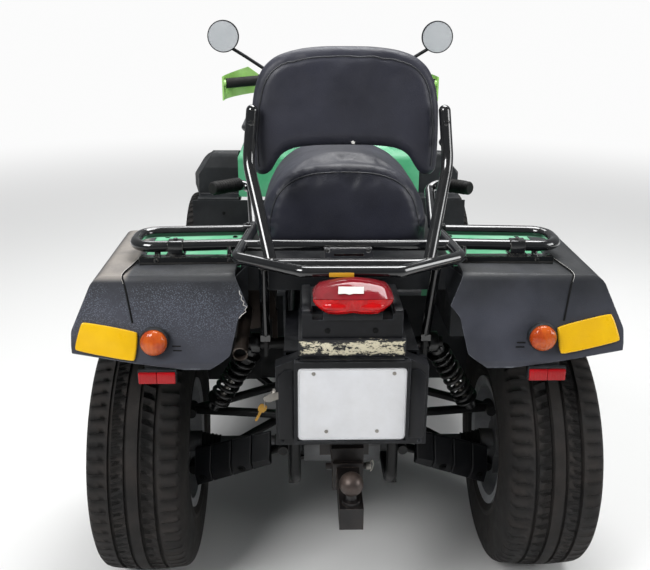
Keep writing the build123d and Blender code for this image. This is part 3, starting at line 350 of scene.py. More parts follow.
# Coloured lens: clear plastic over a ribbed reflector
def makeLens(name, tint, deep, through, rib=0.0, dusty=0.1):
    material, tree, shader = newMaterial(name)
    place = placeOf(tree)
    cloud = between(tree, noise(tree, place, 30.0, 4.0), 0.35, 0.65)
    tone = mixColour(tree, cloud, colour(tint), colour(deep))
    # painted shade: the tone darkens towards the lens's edges as its surface turns away from view
    rim = addNode(tree, "ShaderNodeLayerWeight", {"Blend": 0.45}).outputs["Facing"]
    tone = mixColour(tree, times(tree, rim, 0.6), tone, tuple(c * 0.25 for c in colour(deep)[:3]) + (1.0,))
    dust = useGroup(tree, dustFall, Amount=dusty, Upward=0.6)
    feed(tree, shader, {
        "Base Color": mixColour(tree, dust, tone, colour("#8B827C")),
        "Roughness": calc(tree, "ADD", times(tree, dust, 0.6), 0.06),
        "Transmission Weight": through, "Coat Weight": 0.12, "Specular IOR Level": 0.3})
    if rib:
        waves = addNode(tree, "ShaderNodeTexWave", {"Vector": place, "Scale": rib}, bands_direction="X")
        bump = addNode(tree, "ShaderNodeBump",
                       {"Strength": 0.4, "Distance": 0.001, "Height": waves.outputs[1]})
        feed(tree, shader, {"Normal": bump.outputs[0]})
    return material


finish["fenderPlastic"] = makeFenderFinish()
finish["peelingCream"] = makePeelFinish()
finish["lensDullRed"] = makeLens("lensDullRed", "#7A0F1C", "#8A1422", 0.1, dusty=0.12)
finish["lensRed"] = makeLens("lensRed", "#CC0208", "#A80208", 0.1, rib=26.0, dusty=0.03)
finish["lensAmber"] = makeLens("lensAmber", "#D0601C", "#B4420F", 0.15, rib=34.0, dusty=0.08)
finish["lensClear"] = makeLens("lensClear", "#E6EAEE", "#D5DBE0", 0.85)
print("finishes made")

# Which finish each CAD node takes: by its slot, and by its own name where it differs
slotFinish = {
    "black_steel": "tubeBlack", "cast_metal": "castMetal", "rubber": "rubber", "tyre": "tyreRubber",
    "wheel": "wheelSilver", "black_plastic": "bodyBlack", "green_plastic": "mintGreen",
    "lime_plastic": "limeGreen", "seat_vinyl": "seatVinyl", "steel": "zincSteel", "lamp_red": "lensRed",
    "lamp_clear": "lensClear", "marker_amber": "lensAmber", "plate_white": "plateWhite",
    "mirror_black": "boxPlastic",
}
nodeFinish = {
    "rear_fenders": "fenderPlastic", "tail_box": "boxPlastic", "box_door": "boxPlastic",
    "muffler": "exhaustSteel", "drawbar": "hitchSteel", "receiver": "hitchSteel", "frame": "frameBlack",
    "suspension_arms": "frameBlack", "handguards": "limeGreen", "fuel_cap": "boxPlastic",
}
for nodeName, node in nodes.items():
    for held in node.material_slots:
        key = (held.material.name if held.material else "black_plastic").split(".")[0]
        held.material = finish[nodeFinish.get(nodeName, slotFinish.get(key, "bodyBlack"))]


# A point given for the right-hand side, on either side
def atSide(side, point):
    return Vector((side * point[0], *point[1:]))


def turned(origin, direction=(0, 0, 1)):
    turn = Vector(direction).normalized().to_track_quat("Z", "Y").to_matrix().to_4x4()
    return Matrix.Translation(Vector(origin)) @ turn


def bevelEdges(shape, edges, width, segments=2):
    bmesh.ops.bevel(shape, geom=list(edges), offset=width, segments=segments, affect="EDGES", profile=0.5,
                    material=-1)


def addBox(shape, low, high, edge=0.0, segments=2, place=Matrix()):
    low, high = Vector(low), Vector(high)
    size = Vector([abs(b - a) for a, b in zip(low, high)])
    matrix = place @ Matrix.Translation((low + high) / 2) @ Matrix.Diagonal((*size, 1))
    made = bmesh.ops.create_cube(shape, size=1, matrix=matrix)["verts"]
    if edge:
        bevelEdges(shape, {e for v in made for e in v.link_edges}, edge, segments)


def addRod(shape, start, end, radius, endRadius=None, around=20, edge=0.0):
    start, end = Vector(start), Vector(end)
    made = bmesh.ops.create_cone(
        shape, cap_ends=True, cap_tris=False, segments=around, radius1=radius,
        radius2=radius if endRadius is None else endRadius, depth=(end - start).length,
        matrix=turned((start + end) / 2, end - start))["verts"]
    if edge:
        caps = {f for v in made for f in v.link_faces if len(f.verts) == around}
        bevelEdges(shape, {e for f in caps for e in f.edges}, edge)


def addLathe(shape, profile, place, around=48):
    verts = [shape.verts.new(place @ Vector((radius, 0, along))) for radius, along in profile]
    edges = [shape.edges.new(pair) for pair in zip(verts, verts[1:])]
    axis = place.to_3x3() @ Vector((0, 0, 1))
    bmesh.ops.spin(shape, geom=verts + edges, cent=place.translation, axis=axis, angle=2 * pi, steps=around,
                   use_merge=True, use_duplicate=False)


def addPrism(shape, outline, place, depth, edge=0.0, segments=2):
    base = shape.faces.new([shape.verts.new(place @ Vector((u, v, 0))) for u, v in outline])
    grown = bmesh.ops.extrude_face_region(shape, geom=[base], use_keep_orig=True)["geom"]
    verts = [g for g in grown if isinstance(g, bmesh.types.BMVert)]
    bmesh.ops.translate(shape, vec=place.to_3x3() @ Vector((0, 0, depth)), verts=verts)
    if edge:
        bevelEdges(shape, {e for v in list(base.verts) + verts for e in v.link_edges}, edge, segments)


def addLoft(shape, rings):
    before = None
    for number, ring in enumerate(rings):
        verts = [shape.verts.new(point) for point in ring]
        edges = [shape.edges.new(pair) for pair in zip(verts, verts[1:] + verts[:1])]
        if before:
            bmesh.ops.bridge_loops(shape, edges=before + edges)
        if number in (0, len(rings) - 1):
            shape.faces.new(verts)
        before = edges


def addBolt(shape, at, direction, size=6.0, washer=True):
    at, direction = Vector(at), Vector(direction).normalized()
    if washer:
        addRod(shape, at, at + direction * 1.4, size * 1.35, around=18)
    addRod(shape, at + direction * 1.2, at + direction * (1.2 + size * 0.7), size, around=6, edge=size * 0.12)


def addBall(shape, at, radius, around, rings=12):
    bmesh.ops.create_uvsphere(shape, u_segments=around, v_segments=rings, radius=radius,
                              matrix=Matrix.Translation(at))


def addCoil(shape, start, end, radius, wire, turns, perTurn=22):
    run = Vector(end) - Vector(start)
    place = turned(start, run)
    matrix = place @ Matrix.Translation((radius, 0, 0)) @ Matrix.Rotation(pi / 2, 4, "X")
    verts = bmesh.ops.create_circle(shape, cap_ends=False, radius=wire, segments=8, matrix=matrix)["verts"]
    edges = list({e for v in verts for e in v.link_edges})
    steps = turns * perTurn
    bmesh.ops.spin(shape, geom=verts + edges, cent=place.translation, axis=run.normalized(), dvec=run / steps,
                   angle=2 * pi * turns, steps=steps, use_merge=False, use_duplicate=False)


def bakeMesh(piece):
    return bpy.data.meshes.new_from_object(piece.evaluated_get(bpy.context.evaluated_depsgraph_get()))


def toMesh(shape, name):
    mesh = bpy.data.meshes.new(name)
    shape.to_mesh(mesh)
    shape.free()
    return mesh


def enterPiece(name, mesh, look, body):
    mesh.materials.clear()
    mesh.materials.append(finish[look])
    mesh.polygons.foreach_set("use_smooth", [True] * len(mesh.polygons))
    piece = enterScene(name, mesh)
    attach(piece, body)
    return piece


def finishPiece(shape, name, look, body="chassis", replaces=(), bevel=0.0, sharp=35):
    bmesh.ops.remove_doubles(shape, verts=shape.verts, dist=0.01)
    bmesh.ops.recalc_face_normals(shape, faces=shape.faces)
    bmesh.ops.scale(shape, vec=(0.001, 0.001, 0.001), verts=shape.verts)
    mesh = toMesh(shape, name)
    piece = enterPiece(name, mesh, look, body)
    mesh.set_sharp_from_angle(angle=radians(sharp))
    if bevel:
        rim = piece.modifiers.new("rim", "BEVEL")
        rim.width, rim.segments, rim.limit_method, rim.angle_limit = bevel, 2, "ANGLE", radians(40)
    if replaces:
        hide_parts(*replaces)


def tubeAlong(name, points, radius, look, body="chassis", closed=False, around=6):
    curve = bpy.data.curves.new(name, "CURVE")
    curve.dimensions = "3D"
    curve.bevel_depth, curve.bevel_resolution, curve.use_fill_caps = radius / 1000, around, True
    spline = curve.splines.new("POLY")
    spline.points.add(len(points) - 1)
    for spot, point in zip(spline.points, points):
        spot.co = (*(Vector(point) / 1000), 1)
    spline.use_cyclic_u = closed
    carrier = enterScene(name + "Line", curve)
    mesh = bakeMesh(carrier)
    bpy.data.objects.remove(carrier)
    mesh.name = name
    enterPiece(name, mesh, look, body)


# tyres: one pitch of the tread, spun into a ring
tyreLook = {"pitches": 64, "notchDepth": 2.6, "sipeDepth": 1.2}
tyres = {
    "tyre_rear_left": (-485, rearAxleY, 230, "wheel_rear_left"),
    "tyre_rear_right": (485, rearAxleY, 230, "wheel_rear_right"),
    "tyre_front_left": (-480, frontAxleY, 200, "wheel_front_left"),
    "tyre_front_right": (480, frontAxleY, 200, "wheel_front_right"),
}


# The crown is drawn for the rear tyre; the front one takes a share of its width
def crownShare(width):
    return (width / 2 - 26) / 89


def treadProfile(width):
    half = width / 2
    share = crownShare(width)
    crown = [(0, 317), (12, 316.8), (13, 310.5), (19, 310.3), (20, 316.5), (34, 315.8), (47, 314.8),
             (48, 308.3), (55, 307.8), (56, 314.2), (68, 313), (80, 311.8), (89, 310.5)]
    side = [(half - 18, 307), (half - 12, 301), (half - 8, 292), (half - 4, 268), (half - 1.5, 236),
            (half - 1.5, 212), (half - 5, 196), (half - 3, 190), (half - 4, 184), (half - 12, 176),
            (half - 16, 168), (half - 20, 152)]
    return [(x * share, r - 0.3) for x, r in crown] + side


def makeTyre(nodeName, wheelX, axleY, width, body):
    shape = bmesh.new()
    outer = treadProfile(width)
    section = [(-x, r) for x, r in reversed(outer[1:])] + outer
    section += [(width / 2 - 24, 151.6), (24 - width / 2, 151.6)]
    share = crownShare(width)
    step = 360 / tyreLook["pitches"]
    stops = (0, step * 0.055, step * 0.5, step * 0.555, step)
    centre = Vector((wheelX, axleY, axleZ))
    columns = []
    for stop, angle in enumerate(stops):
        verts = []
        for x, r in section:
            isRib = 19 * share < abs(x) < 48.5 * share and r > 300
            slant = 0.9 * (abs(x) / share - 34) / 14 if isRib and 0 < stop < 4 else 0.0
            turn = radians(angle + slant)
            verts.append(shape.verts.new(centre + Vector((x, -sin(turn) * r, cos(turn) * r))))
        columns.append(verts)
    count = len(section)
    notch, sipe = [], []
    for stop in range(4):
        for row in range(count):
            after = (row + 1) % count
            face = shape.faces.new((columns[stop][row], columns[stop][after], columns[stop + 1][after],
                                    columns[stop + 1][row]))
            reach = abs(section[row][0] + section[after][0]) / 2 / share
            height = min(section[row][1], section[after][1])
            if stop == 0 and reach > 66 and height > 299:
                notch.append(face)
            if stop in (0, 2) and 21 < reach < 47 and height > 312:
                sipe.append(face)
    for faces, depth in ((notch, tyreLook["notchDepth"]), (sipe, tyreLook["sipeDepth"])):
        grown = bmesh.ops.extrude_face_region(shape, geom=faces)["geom"]
        verts = [g for g in grown if isinstance(g, bmesh.types.BMVert)]
        bmesh.ops.translate(shape, vec=(0, 0, -depth), verts=verts)
    whole = list(shape.verts) + list(shape.edges) + list(shape.faces)
    turns = tyreLook["pitches"] - 1
    bmesh.ops.spin(shape, geom=whole, cent=centre, axis=(1, 0, 0), angle=radians(step * turns), steps=turns,
                   use_merge=False, use_duplicate=True)
    finishPiece(shape, nodeName + "Tread", "tyreRubber", body, replaces=(nodeName,), sharp=30)


for nodeName, (wheelX, axleY, width, body) in tyres.items():
    makeTyre(nodeName, wheelX, axleY, width, body)
print("tyres made")

# wheel fittings: nuts, centre cap, valve
wheelFaces = {"rear": (516, rearAxleY), "front": (521, frontAxleY)}
nutCircle = 54
for end, (faceX, axleY) in wheelFaces.items():
    for tag, side in sides.items():
        body = f"wheel_{end}_{tag}"
        shape = bmesh.new()
        for turn in range(4):
            angle = radians(45 + 90 * turn)
            at = Vector((side * (faceX - 10), axleY + nutCircle * cos(angle), axleZ + nutCircle * sin(angle)))
            addRod(shape, at, at + Vector((side * 8, 0, 0)), 12, 10, around=20)
            addBolt(shape, at + Vector((side * 8, 0, 0)), (side, 0, 0), 8.5, washer=False)
        finishPiece(shape, f"wheelNuts_{end}_{tag}", "zincSteel", body)
        shape = bmesh.new()
        addLathe(shape, [(31, -2), (31, 6), (28, 9), (12, 11), (0, 11.5)],
                 turned((side * (faceX - 1), axleY, axleZ), (side, 0, 0)))
        finishPiece(shape, f"wheelCap_{end}_{tag}", "boxPlastic", body)
        shape = bmesh.new()
        valve = Vector((side * (faceX - 22), axleY + 118, axleZ + 60))
        addRod(shape, valve, valve + Vector((side * 22, 4, 2)), 4.5, 3.5, around=14)
        addRod(shape, valve + Vector((side * 22, 4, 2)), valve + Vector((side * 30, 5, 2.6)), 4.2, around=14,
               edge=0.8)
        finishPiece(shape, f"wheelValve_{end}_{tag}", "rubber", body)
print("wheel fittings made")

# dampers: chromed rod, body, spring cups and an open coil
damperEnds = {"rear": ((212, -800, 640), (330, -752, 436)), "front": ((190, 850, 700), (318, 838, 316))}
damperLook = {
    # first share, last share, radius, around, edge: body, upper cup, lower cup, foot
    "parts": ((0.06, 0.48, 18, 32, 2), (0.135, 0.165, 30, 36, 2.5), (0.815, 0.84, 30, 36, 2),
              (0.84, 0.965, 14, 24, 2)),
    "rings": 5, "ring": (0.17, 0.176), "ringStep": 0.012, "rod": (0.46, 0.82), "coil": (0.18, 0.805),
    "coilRadius": 23.5, "wire": 5.6, "turns": 7,
}
dampersDone = False
for end, (topPoint, footPoint) in damperEnds.items():
    for tag, side in sides.items():
        top, foot = atSide(side, topPoint), atSide(side, footPoint)
        run = foot - top
        shape = bmesh.new()
        for first, last, radius, around, edge in damperLook["parts"]:
            addRod(shape, top + run * first, top + run * last, radius, around=around, edge=edge)
        addRod(shape, top - Vector((11, 0, 0)), top + Vector((11, 0, 0)), 25.5, around=36, edge=2)
        for ring in range(damperLook["rings"]):
            share = damperLook["ringStep"] * ring
            first, last = damperLook["ring"]
            addRod(shape, top + run * (first + share), top + run * (last + share), 22, around=28)
        finishPiece(shape, f"damper_{end}_{tag}", "springBlack", replaces=() if dampersDone else ("dampers",))
        dampersDone = True
        shape = bmesh.new()
        first, last = damperLook["rod"]
        addRod(shape, top + run * first, top + run * last, 8, around=24)
        finishPiece(shape, f"damperRod_{end}_{tag}", "zincSteel")
        shape = bmesh.new()
        start, stop = (top + run * share for share in damperLook["coil"])
        addCoil(shape, start, stop, damperLook["coilRadius"], damperLook["wire"], damperLook["turns"])
        finishPiece(shape, f"spring_{end}_{tag}", "springBlack", sharp=70)
print("dampers made")

# drive shafts: bars with ribbed boots
shaftLook = {"rear": (rearAxleY, 98.3, 399.5, 30, 13, 28), "front": (frontAxleY, 75.3, 440, 26, 12, 21)}
bootFolds = 11
shaftsDone = False
for end, (axleY, innerX, outerX, bigRadius, barRadius, outerRadius) in shaftLook.items():
    for tag, side in sides.items():
        place = turned((0, axleY, axleZ), (side, 0, 0))
        boots = bmesh.new()
        for start, stop, first, last in ((innerX + 26, innerX + 76, bigRadius, barRadius + 3),
                                         (outerX - 30, outerX - 84, outerRadius - 1, barRadius + 3)):
            profile = [(0, start), (first, start)]
            for fold in range(bootFolds):
                share = (fold + 0.5) / bootFolds
                middle = first + (last - first) * share
                profile.append((middle - (3 if fold % 2 else 0), start + (stop - start) * share))
            profile += [(last, stop), (0, stop)]
            addLathe(boots, profile, place, around=36)
        finishPiece(boots, f"shaftBoots_{end}_{tag}", "rubber",
                    replaces=() if shaftsDone else ("drive_shafts",), sharp=50)
        shaftsDone = True
        shape = bmesh.new()
        # start, stop, radius, around, edge: inner joint, bar, outer joint, and a band at each boot
        for start, stop, radius, around, edge in (
                (innerX, innerX + 27, bigRadius - 0.5, 40, 2), (innerX + 70, outerX - 78, barRadius, 24, 0),
                (outerX - 31, outerX, outerRadius - 1, 40, 2),
                (innerX + 26.5, innerX + 31.5, bigRadius - 1.5, 40, 0),
                (outerX - 35.5, outerX - 30.5, outerRadius - 0.3, 40, 0)):
            addRod(shape, place @ Vector((0, 0, start)), place @ Vector((0, 0, stop)), radius, around=around,
                   edge=edge)
        finishPiece(shape, f"driveShaft_{end}_{tag}", "castMetal")
print("drive shafts made")

# arm guards: four moulded segments behind each lower arm, with recessed bolts
guardLook = {"breaks": (0.08, 0.285, 0.51, 0.735, 0.93), "gap": 0.011, "boltShares": (0.40, 0.84)}
guardsDone = False


# From the first break to the last
def alongGuard(share):
    return (share - 0.08) / 0.85


for tag, side in sides.items():
    inner = Vector((side * 150.3, -785, 345))
    outer = Vector((side * 386, -700, 245))
    run = outer - inner
    back = Vector((run.y, -run.x, 0)).normalized() * side

    def guardPoint(share, up, away):
        return inner + run * share + Vector((0, 0, up)) + back * away

    def guardRing(share):
        t = alongGuard(share)
        above, below = 68 - 4 * t, 26 + 22 * t
        return [guardPoint(share, *p) for p in
                ((above, 24), (above, 34), (-4, 44), (-below, 32), (-below, 24))]

    guards = bmesh.new()
    for first, last in zip(guardLook["breaks"], guardLook["breaks"][1:]):
        addLoft(guards, [guardRing(first + guardLook["gap"] / 2), guardRing(last - guardLook["gap"] / 2)])
    for share in (0.3, 0.7):
        middle = inner + run * share
        addRod(guards, middle - run.normalized() * 12, middle + run.normalized() * 12, 16, around=24)
        addRod(guards, middle, middle + back * 30, 8, around=16)
    finishPiece(guards, f"armGuard_{tag}", "boxPlastic", replaces=() if guardsDone else ("arm_guards",),
                bevel=0.0024)
    guardsDone = True
    bolts = bmesh.new()
    for share in guardLook["boltShares"]:
        t = alongGuard(share)
        at = guardPoint(share, -(14 + 11 * t), 38.5)
        tilt = (back + Vector((0, 0, -0.4))).normalized()
        addRod(bolts, at - tilt * 2, at + tilt * 1.2, 11, around=28, edge=0.8)
        addBolt(bolts, at + tilt * 0.6, tilt, 6, washer=False)
    finishPiece(bolts, f"armGuardBolts_{tag}", "darkRecess")
print("arm guards made")

# Cushions: a closed form is gridded, blown up a little by cloth pressure, and pressed in at its seams
def swell(shape, name, look, isHeld):
    bmesh.ops.recalc_face_normals(shape, faces=shape.faces)
    bmesh.ops.scale(shape, vec=(0.001, 0.001, 0.001), verts=shape.verts)
    carrier = enterScene(name + "Swelling", toMesh(shape, name + "Start"))
    grid = carrier.modifiers.new("grid", "REMESH")
    grid.mode, grid.voxel_size = "VOXEL", look["voxel"] / 1000
    start = bakeMesh(carrier)
    carrier.modifiers.clear()
    carrier.data = start
    held = carrier.vertex_groups.new(name="held")
    held.add([v.index for v in start.vertices if isHeld(v.co * 1000)], 1.0, "REPLACE")
    cloth = carrier.modifiers.new("cloth", "CLOTH")
    cloth.settings.vertex_group_mass = "held"
    cloth.settings.use_pressure = True
    cloth.settings.uniform_pressure_force = look["pressure"]
    cloth.settings.effector_weights.gravity = 0
    cloth.point_cache.frame_start, cloth.point_cache.frame_end = 1, 20
    for frameNumber in range(1, 21):
        scene.frame_set(frameNumber)
    blown = bakeMesh(carrier)
    carrier.modifiers.clear()
    cap = look["cap"] / 1000
    for before, after in zip(start.vertices, blown.vertices):
        move = after.co - before.co
        before.co += move if move.length <= cap else move.normalized() * cap
    scene.frame_set(1)
    shape = bmesh.new()
    shape.from_mesh(start)
    for turn in range(look["soften"]):
        bmesh.ops.smooth_vert(shape, verts=shape.verts, factor=0.5, use_axis_x=True, use_axis_y=True,
                              use_axis_z=True)
    bpy.data.objects.remove(carrier)
    return shape


def smoothLine(points, closed=True, times=3):
    for turn in range(times):
        pairs = list(zip(points, points[1:] + points[:1])) if closed else list(zip(points, points[1:]))
        cut = [p for a, b in pairs for p in (a * 0.75 + b * 0.25, a * 0.25 + b * 0.75)]
        points = cut if closed else [points[0], *cut, points[-1]]
    return points


def finishCushion(shape, name, look, seams, node):
    shape.normal_update()
    surface = BVHTree.FromBMesh(shape)
    onSkin = []
    for line, closed in seams:
        onSkin.append(([surface.find_nearest(point / 1000)[:2] for point in line], closed))
    for vert in shape.verts:
        nearest = min(((vert.co - spot).length for spots, closed in onSkin for spot, normal in spots),
                      default=1)
        across = nearest * 1000 / look["seamWidth"]
        if across < 3:
            vert.co -= vert.normal * (look["seamDepth"] / 1000 * 2.718 ** -(across ** 2))
    piece = enterPiece(name, toMesh(shape, name), "seatVinyl", "chassis")
    soft = piece.modifiers.new("soft", "SUBSURF")
    soft.levels = soft.render_levels = 1
    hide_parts(node)
    for number, (spots, closed) in enumerate(onSkin):
        lifted = [(spot - normal * (look["seamDepth"] - 1.2) / 1000) * 1000 for spot, normal in spots]
        tubeAlong(f"{name}Welt{number}", lifted, look["welt"], "seatWelt", closed=closed, around=4)


def rearPlane(y):
    return Matrix(((1, 0, 0, 0), (0, 0, -1, y), (0, 1, 0, 0), (0, 0, 0, 1)))


def mirroredOutline(half):
    return half + [(-x, z) for x, z in reversed(half[1:-1])]


# The outline drawn in, by a distance that grows from the sides to the top
def drawnIn(points, low, high):
    inner = []
    for before, point, after in zip(points[-1:] + points[:-1], points, points[1:] + points[:1]):
        along = (after - before).normalized()
        share = min(max((point.y - 1150) / 130, 0), 1)
        inner.append(point + Vector((along.y, -along.x)) * (low + (high - low) * share))
    return inner


backrestLook = {
    "voxel": 6, "pressure": 4, "cap": 8, "soften": 3, "seamDepth": 3.2, "seamWidth": 5, "welt": 1.9,
    "fill": 0.7, "frontY": -768, "depth": 50, "aside": -5,
    "half": [(0, 1332), (64, 1331), (118, 1323), (162, 1306), (193, 1274), (209, 1220), (213, 1150),
             (213, 1088), (208, 1058), (192, 1048), (173, 1054), (148, 1083), (118, 1099), (70, 1105),
             (0, 1106)],
}
aside = backrestLook["aside"]
outline = smoothLine([Vector((x + aside, z)) for x, z in mirroredOutline(backrestLook["half"])], times=2)
shape = bmesh.new()
base = rearPlane(backrestLook["frontY"])
addPrism(shape, [tuple(p) for p in outline], base, backrestLook["depth"], edge=16, segments=4)
shape = swell(shape, "backrestPad", backrestLook, lambda p: False)
seams = []
inner = smoothLine(drawnIn(outline, 13, 22), times=2)
seams.append(([Vector((p.x, -756, p.y)) for p in inner], True))
foot = next(number for number, p in enumerate(inner) if p.y < 1066)
kept = [p for p in inner[foot:] + inner[:foot] if p.y > 1200 or (abs(p.x - aside) > 190 and p.y > 1066)]
seams.append(([Vector((p.x, -832, p.y)) for p in kept], False))
finishCushion(shape, "backrestPad", backrestLook, seams, "backrest")
# a small white spot on the backrest's rear face
shape = bmesh.new()
addPrism(shape, [(7, 1127), (8, 1123), (14, 1122), (15, 1126), (11, 1129)], rearPlane(-833), 4)
finishPiece(shape, "backrestWhiteSpot", "stickerWhite")
print("backrest made")


def domeRing(y, half, baseZ, topZ, power, count=16):
    ring = [Vector((-half, y, baseZ)), Vector((half, y, baseZ))]
    for step in range(count + 1):
        angle = pi * step / count
        across, rise = cos(angle), sin(angle)
        ring.append(Vector((half * abs(across) ** (2 / power) * (1 if across > 0 else -1), y,
                            baseZ + 6 + (topZ - baseZ - 6) * rise ** (2 / power))))
    return ring


seatMake = {"voxel": 6, "pressure": 4, "cap": 9, "soften": 3, "seamDepth": 3, "seamWidth": 5, "welt": 2,
            "fill": 0.8}
seatLooks = {
    "passengerSeat": {
        "node": "passenger_seat", **seatMake, "baseZ": 863.5,
        "rings": ((-722, 189, 1046), (-708, 196, 1061), (-600, 196, 1062), (-480, 194, 1060),
                  (-372, 189, 1052), (-354, 176, 1034)),
        "seamYs": (-722, -356), "power": 2.9,
    },
    "riderSeat": {
        "node": "seat", **seatMake, "baseZ": 757.5,
        "rings": ((-322, 140, 872), (-306, 150, 890), (-200, 152, 892), (-80, 144, 886), (20, 124, 880),
                  (84, 108, 886), (98, 96, 872)),
        "seamYs": (-322, 60), "power": 2.6,
    },
}
for name, look in seatLooks.items():
    baseZ = look["baseZ"]
    shape = bmesh.new()
    addLoft(shape, [domeRing(y, half, baseZ, topZ, look["power"]) for y, half, topZ in look["rings"]])
    shape = swell(shape, name, look, lambda p: p.z < baseZ + 4)
    seams = []
    for y in look["seamYs"]:
        nearest = min(look["rings"], key=lambda ring: abs(ring[0] - y))
        arc = domeRing(y, nearest[1] - 9, baseZ, nearest[2] - 9, look["power"], count=40)[2:]
        seams.append((arc, False))
    finishCushion(shape, name, look, seams, look["node"])
print("seats made")

# Tail lamp: dull red hood over a bright two-lobed lens, on its foot
lampLook = {"crease": 867, "stations": ((0, 894.5, 834.8), (16, 893.5, 834.8), (32, 891.5, 834.8),
                                        (48, 888.5, 834.8), (58, 886, 839), (66, 884, 845), (74, 876, 852),
                                        (79, 869, 860))}
stations = [(-x, t, b) for x, t, b in reversed(lampLook["stations"][1:])] + list(lampLook["stations"])
crease = lampLook["crease"]
shape = bmesh.new()
addLoft(shape, [[Vector((x, y, z)) for y, z in (
    (-1058, crease + 0.6), (-1118 + abs(x) * 0.06, crease + 0.6), (-1092, max(top - 4, crease + 1.2)),
    (-1082, max(top, crease + 1.6)), (-1058, max(top, crease + 1.6)))] for x, top, bottom in stations])
finishPiece(shape, "tailLampHood", "lensDullRed", replaces=("tail_lamp",), bevel=0.001)
shape = bmesh.new()
addLoft(shape, [[Vector((x, y, z)) for y, z in (
    (-1058, bottom), (-1104 - 7 * sin(min(abs(x), 60) / 60 * pi), bottom),
    (-1110 - 8 * sin(min(abs(x), 60) / 60 * pi), min(bottom + 7, crease - 1)),
    (-1117 + abs(x) * 0.06, crease - 0.4), (-1058, crease - 0.4))] for x, top, bottom in stations])
for lobeX in (-34, 34):
    cup = Matrix.Translation((lobeX, -1106, 851)) @ Matrix.Diagonal((30, 13.5, 12.5, 1))
    bmesh.ops.create_uvsphere(shape, u_segments=28, v_segments=16, radius=1, matrix=cup)
finishPiece(shape, "tailLampLens", "lensRed", bevel=0.0008)
shape = bmesh.new()
addBox(shape, (-60, -1104, 818.5), (60, -1062, 836), edge=3)
addRod(shape, (-70, -1050, 849), (-70, -1058, 849), 5)
addRod(shape, (70, -1050, 849), (70, -1058, 849), 5)
for turn in (-1, 1):
    addBox(shape, (turn * 83, -1098.4, 826), (turn * 101.4, -940, 838), edge=3)
finishPiece(shape, "tailLampFoot", "boxPlastic")
slope = Matrix(((1, 0, 0, -4), (0, 0.768, -0.640, -1103.4), (0, 0.640, 0.768, 881.6), (0, 0, 0, 1)))
shape = bmesh.new()
addPrism(shape, [(-26, -8), (-12, -7), (-4, -9.5), (4, -7), (24, -7.5), (25, 8), (-25, 9)], slope, 0.7)
finishPiece(shape, "lampSticker", "stickerWhite")
print("tail lamp made")

# Markers on the fenders' rear faces, which lean forward as they rise
faceOut = Vector((0, -0.955, 0.295))


def onFender(x, z, lift=0.0):
    return Vector((x, -1020 + (z - 690) * 0.309, z)) + faceOut * lift


# Each corner gives way to two points, to be smoothed later
def cutCorners(points, size):
    cut = []
    for before, point, after in zip(points[-1:] + points[:-1], points, points[1:] + points[:1]):
        cut += [point + (before - point).normalized() * size, point + (after - point).normalized() * size]
    return cut


